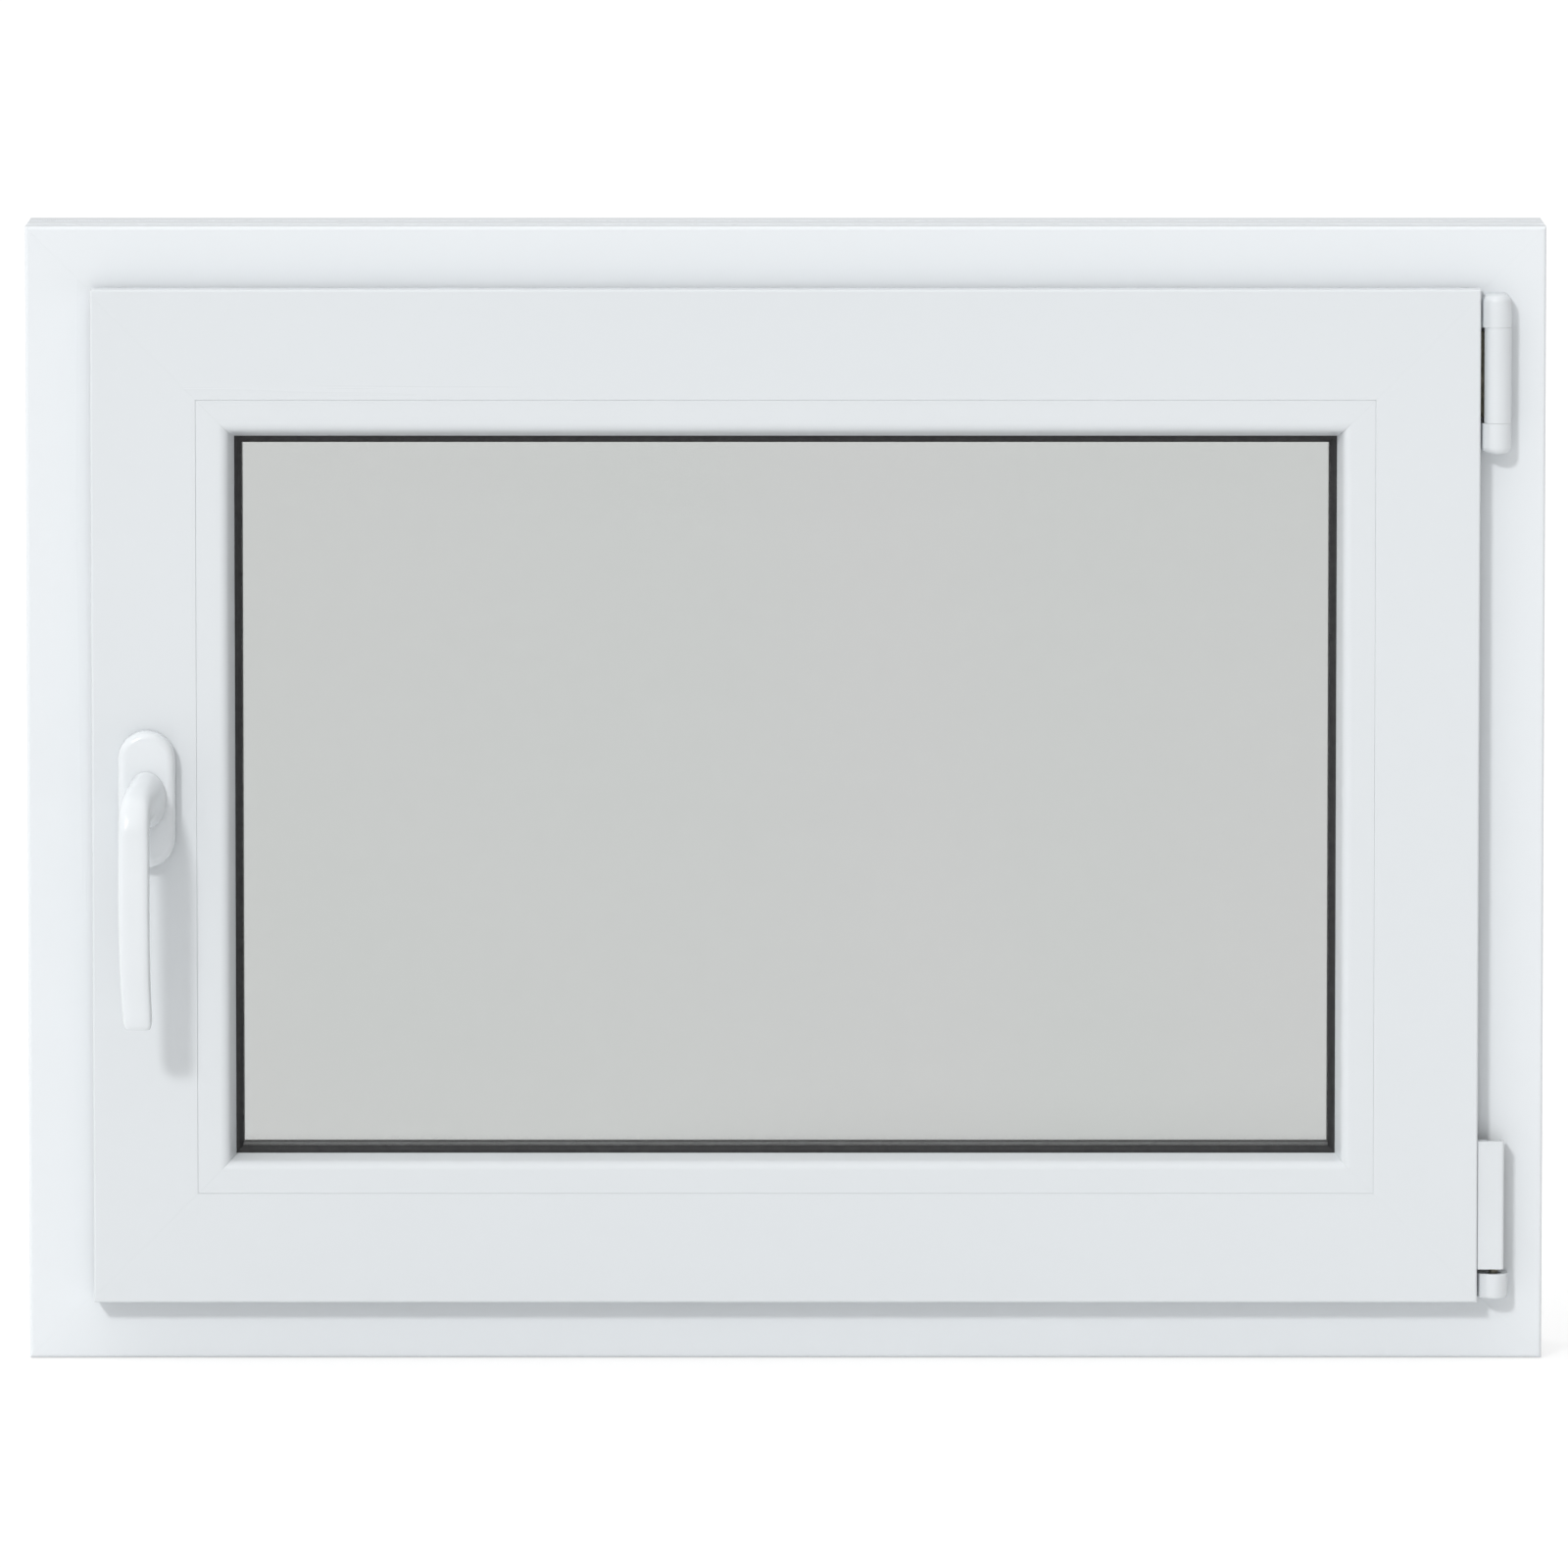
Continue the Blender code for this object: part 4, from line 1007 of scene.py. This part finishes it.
# The lever, from its foot on the rosette to the end of the grip: y, rise above the spindle, how far
# the grip is set off to the side, half width, half thickness, lean, corner power. Lean turns the
# section from facing the room (0) to lying across the grip (90). A corner power of 1 is an ellipse,
# and a smaller one is squarer.
LEVER_STATIONS = [
    (-64.9, 0.0, 0.0, 9.9, 14.5, 0, 0.95),
    (-65.4, 0.0, 0.0, 10.4, 15.0, 0, 0.95),
    (-70.0, 0.0, -0.3, 10.0, 14.2, 0, 0.95),
    (-80.0, 0.0, -1.6, 9.4, 12.2, 3, 0.9),
    (-90.0, -0.8, -3.2, 8.8, 9.8, 14, 0.8),
    (-97.5, -4.0, -4.4, 8.4, 7.8, 38, 0.66),
    (-102.0, -11.0, -4.8, 8.1, 6.6, 66, 0.56),
    (-103.4, -22.0, -4.9, 8.1, 6.1, 84, 0.5),
    (-103.9, -54.4, -5.0, 8.1, 5.8, 92, 0.5),
    (-102.6, -86.8, -4.6, 7.9, 5.6, 95, 0.5),
    (-100.4, -107.4, -3.7, 7.6, 5.4, 97, 0.5),
    (-99.8, -113.0, -3.5, 7.5, 5.2, 98, 0.5),
    (-99.5, -115.4, -3.4, 7.0, 4.7, 98, 0.5),
    (-99.3, -116.7, -3.3, 6.2, 3.9, 98, 0.5),
]


def smoothed(stations, steps):
    """More stations on a Catmull-Rom curve through the given ones."""
    finer = []
    for index in range(len(stations) - 1):
        before = Vector(stations[max(index - 1, 0)])
        here = Vector(stations[index])
        following = Vector(stations[index + 1])
        after = Vector(stations[min(index + 2, len(stations) - 1)])
        for step in range(steps):
            t = step / steps
            value = here * 2 + (following - before) * t
            value += (before * 2 - here * 5 + following * 4 - after) * t * t
            value += (here * 3 - before - following * 3 + after) * t * t * t
            finer.append(value / 2)
    finer.append(Vector(stations[-1]))
    return finer


def lever_ring(y, rise, offset, half_width, half_thickness, lean, power, sides):
    """One section of the lever."""
    up = Vector((0.0, -math.sin(math.radians(lean)), math.cos(math.radians(lean))))
    points = []
    for side in range(sides):
        angle = 2 * math.pi * (side + 0.5) / sides
        across = math.copysign(abs(math.cos(angle)) ** power, math.cos(angle))
        along = math.copysign(abs(math.sin(angle)) ** power, math.sin(angle))
        middle = Vector((HANDLE.x + offset + across * half_width, y, HANDLE.z + rise))
        points.append(tuple(middle + up * along * half_thickness))
    return points


def build_lever():
    sides = 48
    rings = [lever_ring(*station, sides) for station in smoothed(LEVER_STATIONS, 5)]
    lever = loft(rings, [circle(0.0, 0.0, 1.0, sides)])
    back = node_box("handle_lever")[1].y
    collar = along_y(circle(HANDLE.x, HANDLE.z, COLLAR_RADIUS), back - COLLAR_LENGTH, back)
    shape = merged([lever, collar])
    add_piece("handle_lever_grip", "handle", COAT, shape, ["handle_lever"])


# ---------------------------------------------------------------- hardware screws


def screw_head(place, radius):
    """A flat head with a cross recess. place turns (a, b, height) into a point in space."""
    arm, wide = radius * 0.6, radius * 0.16
    cross = [(arm, -wide), (arm, wide), (wide, wide), (wide, arm), (-wide, arm), (-wide, wide)]
    cross += [(-a, -b) for a, b in cross]
    recess_floor = SCREW_HEIGHT * 0.3
    rim = circle(0.0, 0.0, radius, 28)
    chamfered = inset(rim, radius * 0.08)

    def level(loops, height):
        return [place(a, b, height) for a, b in flat(loops)]

    rings = [level([rim, cross], recess_floor), level([rim, cross], SCREW_HEIGHT * 0.8)]
    top = loft([*rings, level([chamfered, cross], SCREW_HEIGHT)], [rim, cross])
    base = loft([level([rim], 0.0), level([rim], recess_floor)], [rim])
    return merged([top, base])


def screws_along(side, plate_u, rise, y, stations, radius=SCREW_RADIUS):
    """Screw heads on a plate. rise is 1 for heads towards the glass and -1 towards the frame's edge."""
    place = side_place(side)
    heads = []
    for s in stations:
        heads.append(screw_head(lambda a, b, h: place(plate_u + rise * h, y + a, s + b), radius))
    return merged(heads)


def span_along(side, node):
    """Where a node begins and ends along its side of the frame."""
    low, high = node_box(node)
    if side == "head":
        return low.x, high.x
    if side == "sill":
        return -high.x, -low.x
    return low.z - FRAME_HEIGHT / 2, high.z - FRAME_HEIGHT / 2


def add_screws(name, body, shape):
    add_piece(name, body, ZINC, shape)


def build_sash_screws():
    """Screws in the faceplate, the corner drives and the stay guide."""
    middle = (GROOVE_FRONT + GROOVE_BACK) / 2
    start, end = span_along("handle", "faceplate")
    # One near each end, and two that keep clear of the gearbox.
    stations = [start + 12.0, -100.0, 85.0, end - 12.0]
    plate_u = node_box("faceplate")[0].x + HALF_WIDTH
    shapes = [screws_along("handle", plate_u, -1, middle, stations)]
    plate_u = FRAME_HEIGHT - node_box("corner_drive_top")[1].z
    end = span_along("head", "corner_drive_top")[1]
    shapes.append(screws_along("head", plate_u, -1, middle, [end - 8.0]))
    plate_u = node_box("corner_drive_bottom")[0].z
    start = span_along("sill", "corner_drive_bottom")[0]
    shapes.append(screws_along("sill", plate_u, -1, middle, [start + 8.0]))
    add_screws("sash_hardware_screws", "sash", merged(shapes))

    start, end = span_along("head", "stay_guide")
    plate_u = FRAME_HEIGHT - node_box("stay_guide")[1].z
    shape = screws_along("head", plate_u, -1, middle, [start + 10.0, end - 50.0])
    add_screws("stay_guide_screws", "sash", shape)


def build_keep_screws():
    keeps = {"keep_handle_side": "handle", "keep_top": "head", "keep_tilt_bottom": "sill"}
    for node, side in keeps.items():
        start, end = span_along(side, node)
        stations = [start + 6.0, end - 4.5]
        shape = screws_along(side, KEEP_PLATE_U, 1, KEEP_SCREW_Y, stations, KEEP_SCREW_RADIUS)
        add_screws(node + "_screws", "frame", shape)


# ---------------------------------------------------------------- CAD nodes that stay


def dress_nodes():
    """Materials for the hidden and mechanical CAD nodes that are shown as they are."""
    finishes = {
        "steel_reinforcement": GALVANISED,
        "zinc_hardware": ZINC,
        "spacer": SPACER,
        "hidden_plastic": GREY,
    }
    slot_words = {
        "steel": "steel_reinforcement",
        "spacer": "spacer",
        "block": "hidden_plastic",
        "bush": "hidden_plastic",
        "base": "hidden_plastic",
    }
    # The hinge steel is dark partly from its passivated film and partly as painted shade in the slit
    # beside the upper hinge cap.
    hinge_steel = ("stay_arm", "stay_bearing", "stay_hinge_pin")
    hinge_steel += ("corner_hinge", "pivot_pin", "pivot_rest")
    for name, obj in frame["nodes"].items():
        if obj.hide_render:
            continue
        slot = next((slot for word, slot in slot_words.items() if word in name), "zinc_hardware")
        obj.data.materials.clear()
        obj.data.materials.append(CHROMATE_WITH_PAINTED_SHADE if name in hinge_steel else finishes[slot])


# ---------------------------------------------------------------- studio


def build_floor():
    outline = rectangle(-FLOOR_HALF_SIZE, FLOOR_HALF_SIZE, -FLOOR_HALF_SIZE, FLOOR_HALF_SIZE)
    floor = add_mesh("studio_floor", along_z(outline, FLOOR_BOTTOM, FLOOR_TOP))
    floor.data.materials.append(studio_floor())


def build_key_light():
    key = bpy.data.lights.new("key", "SUN")
    key.energy = KEY_STRENGTH
    key.angle = math.radians(KEY_WIDTH_DEGREES)
    lamp = bpy.data.objects.new("key", key)
    lamp.rotation_euler = Vector(KEY_TRAVEL).to_track_quat("-Z", "Y").to_euler()
    bpy.context.scene.collection.objects.link(lamp)


def build_sky():
    """Soft white light from above and from the left. The camera sees a plain white backdrop instead."""
    world = bpy.data.worlds.new("soft_studio")
    world.use_nodes = True
    bpy.context.scene.world = world
    nodes, links = world.node_tree.nodes, world.node_tree.links
    direction = nodes.new("ShaderNodeTexCoord")
    split = nodes.new("ShaderNodeSeparateXYZ")
    upwards = nodes.new("ShaderNodeMapRange")
    upwards.inputs["To Min"].default_value = HORIZON
    upwards.inputs["To Max"].default_value = ZENITH
    sideways = nodes.new("ShaderNodeMapRange")
    sideways.inputs["From Min"].default_value = -1.0
    sideways.inputs["To Min"].default_value = FROM_LEFT
    sideways.inputs["To Max"].default_value = FROM_RIGHT
    strength = nodes.new("ShaderNodeMath")
    strength.operation = "MULTIPLY"
    sky = nodes["Background"]
    sky.inputs["Color"].default_value = (1.0, 1.0, 1.0, 1.0)
    backdrop = nodes.new("ShaderNodeBackground")
    backdrop.inputs["Strength"].default_value = BACKDROP
    path = nodes.new("ShaderNodeLightPath")
    mix = nodes.new("ShaderNodeMixShader")
    links.new(direction.outputs["Generated"], split.inputs["Vector"])
    links.new(split.outputs["Z"], upwards.inputs["Value"])
    links.new(split.outputs["X"], sideways.inputs["Value"])
    links.new(upwards.outputs["Result"], strength.inputs[0])
    links.new(sideways.outputs["Result"], strength.inputs[1])
    links.new(strength.outputs["Value"], sky.inputs["Strength"])
    links.new(path.outputs["Is Camera Ray"], mix.inputs["Fac"])
    links.new(sky.outputs["Background"], mix.inputs[1])
    links.new(backdrop.outputs["Background"], mix.inputs[2])
    links.new(mix.outputs["Shader"], nodes["World Output"].inputs["Surface"])


def build_camera():
    """The long lens and slight downward look of a catalogue picture."""
    data = bpy.data.cameras.new("camera")
    data.sensor_width = SENSOR
    data.lens = LENS
    data.shift_x = SHIFT_X
    data.shift_y = SHIFT_Y
    data.clip_end = CLIP_END
    camera = bpy.data.objects.new("camera", data)
    camera.location = CAMERA_PLACE
    camera.rotation_euler = (math.radians(CAMERA_TILT), 0.0, 0.0)
    bpy.context.scene.collection.objects.link(camera)
    bpy.context.scene.camera = camera
    bpy.context.scene.view_settings.view_transform = "Standard"
    bpy.context.scene.view_settings.exposure = 0.0


build_camera()
build_key_light()
build_sky()
build_floor()
build_frame()
build_sash()
build_beads()
build_glass()
build_upper_hinge()
build_lower_hinge()
build_rosette()
build_lever()
build_sash_screws()
build_keep_screws()
dress_nodes()
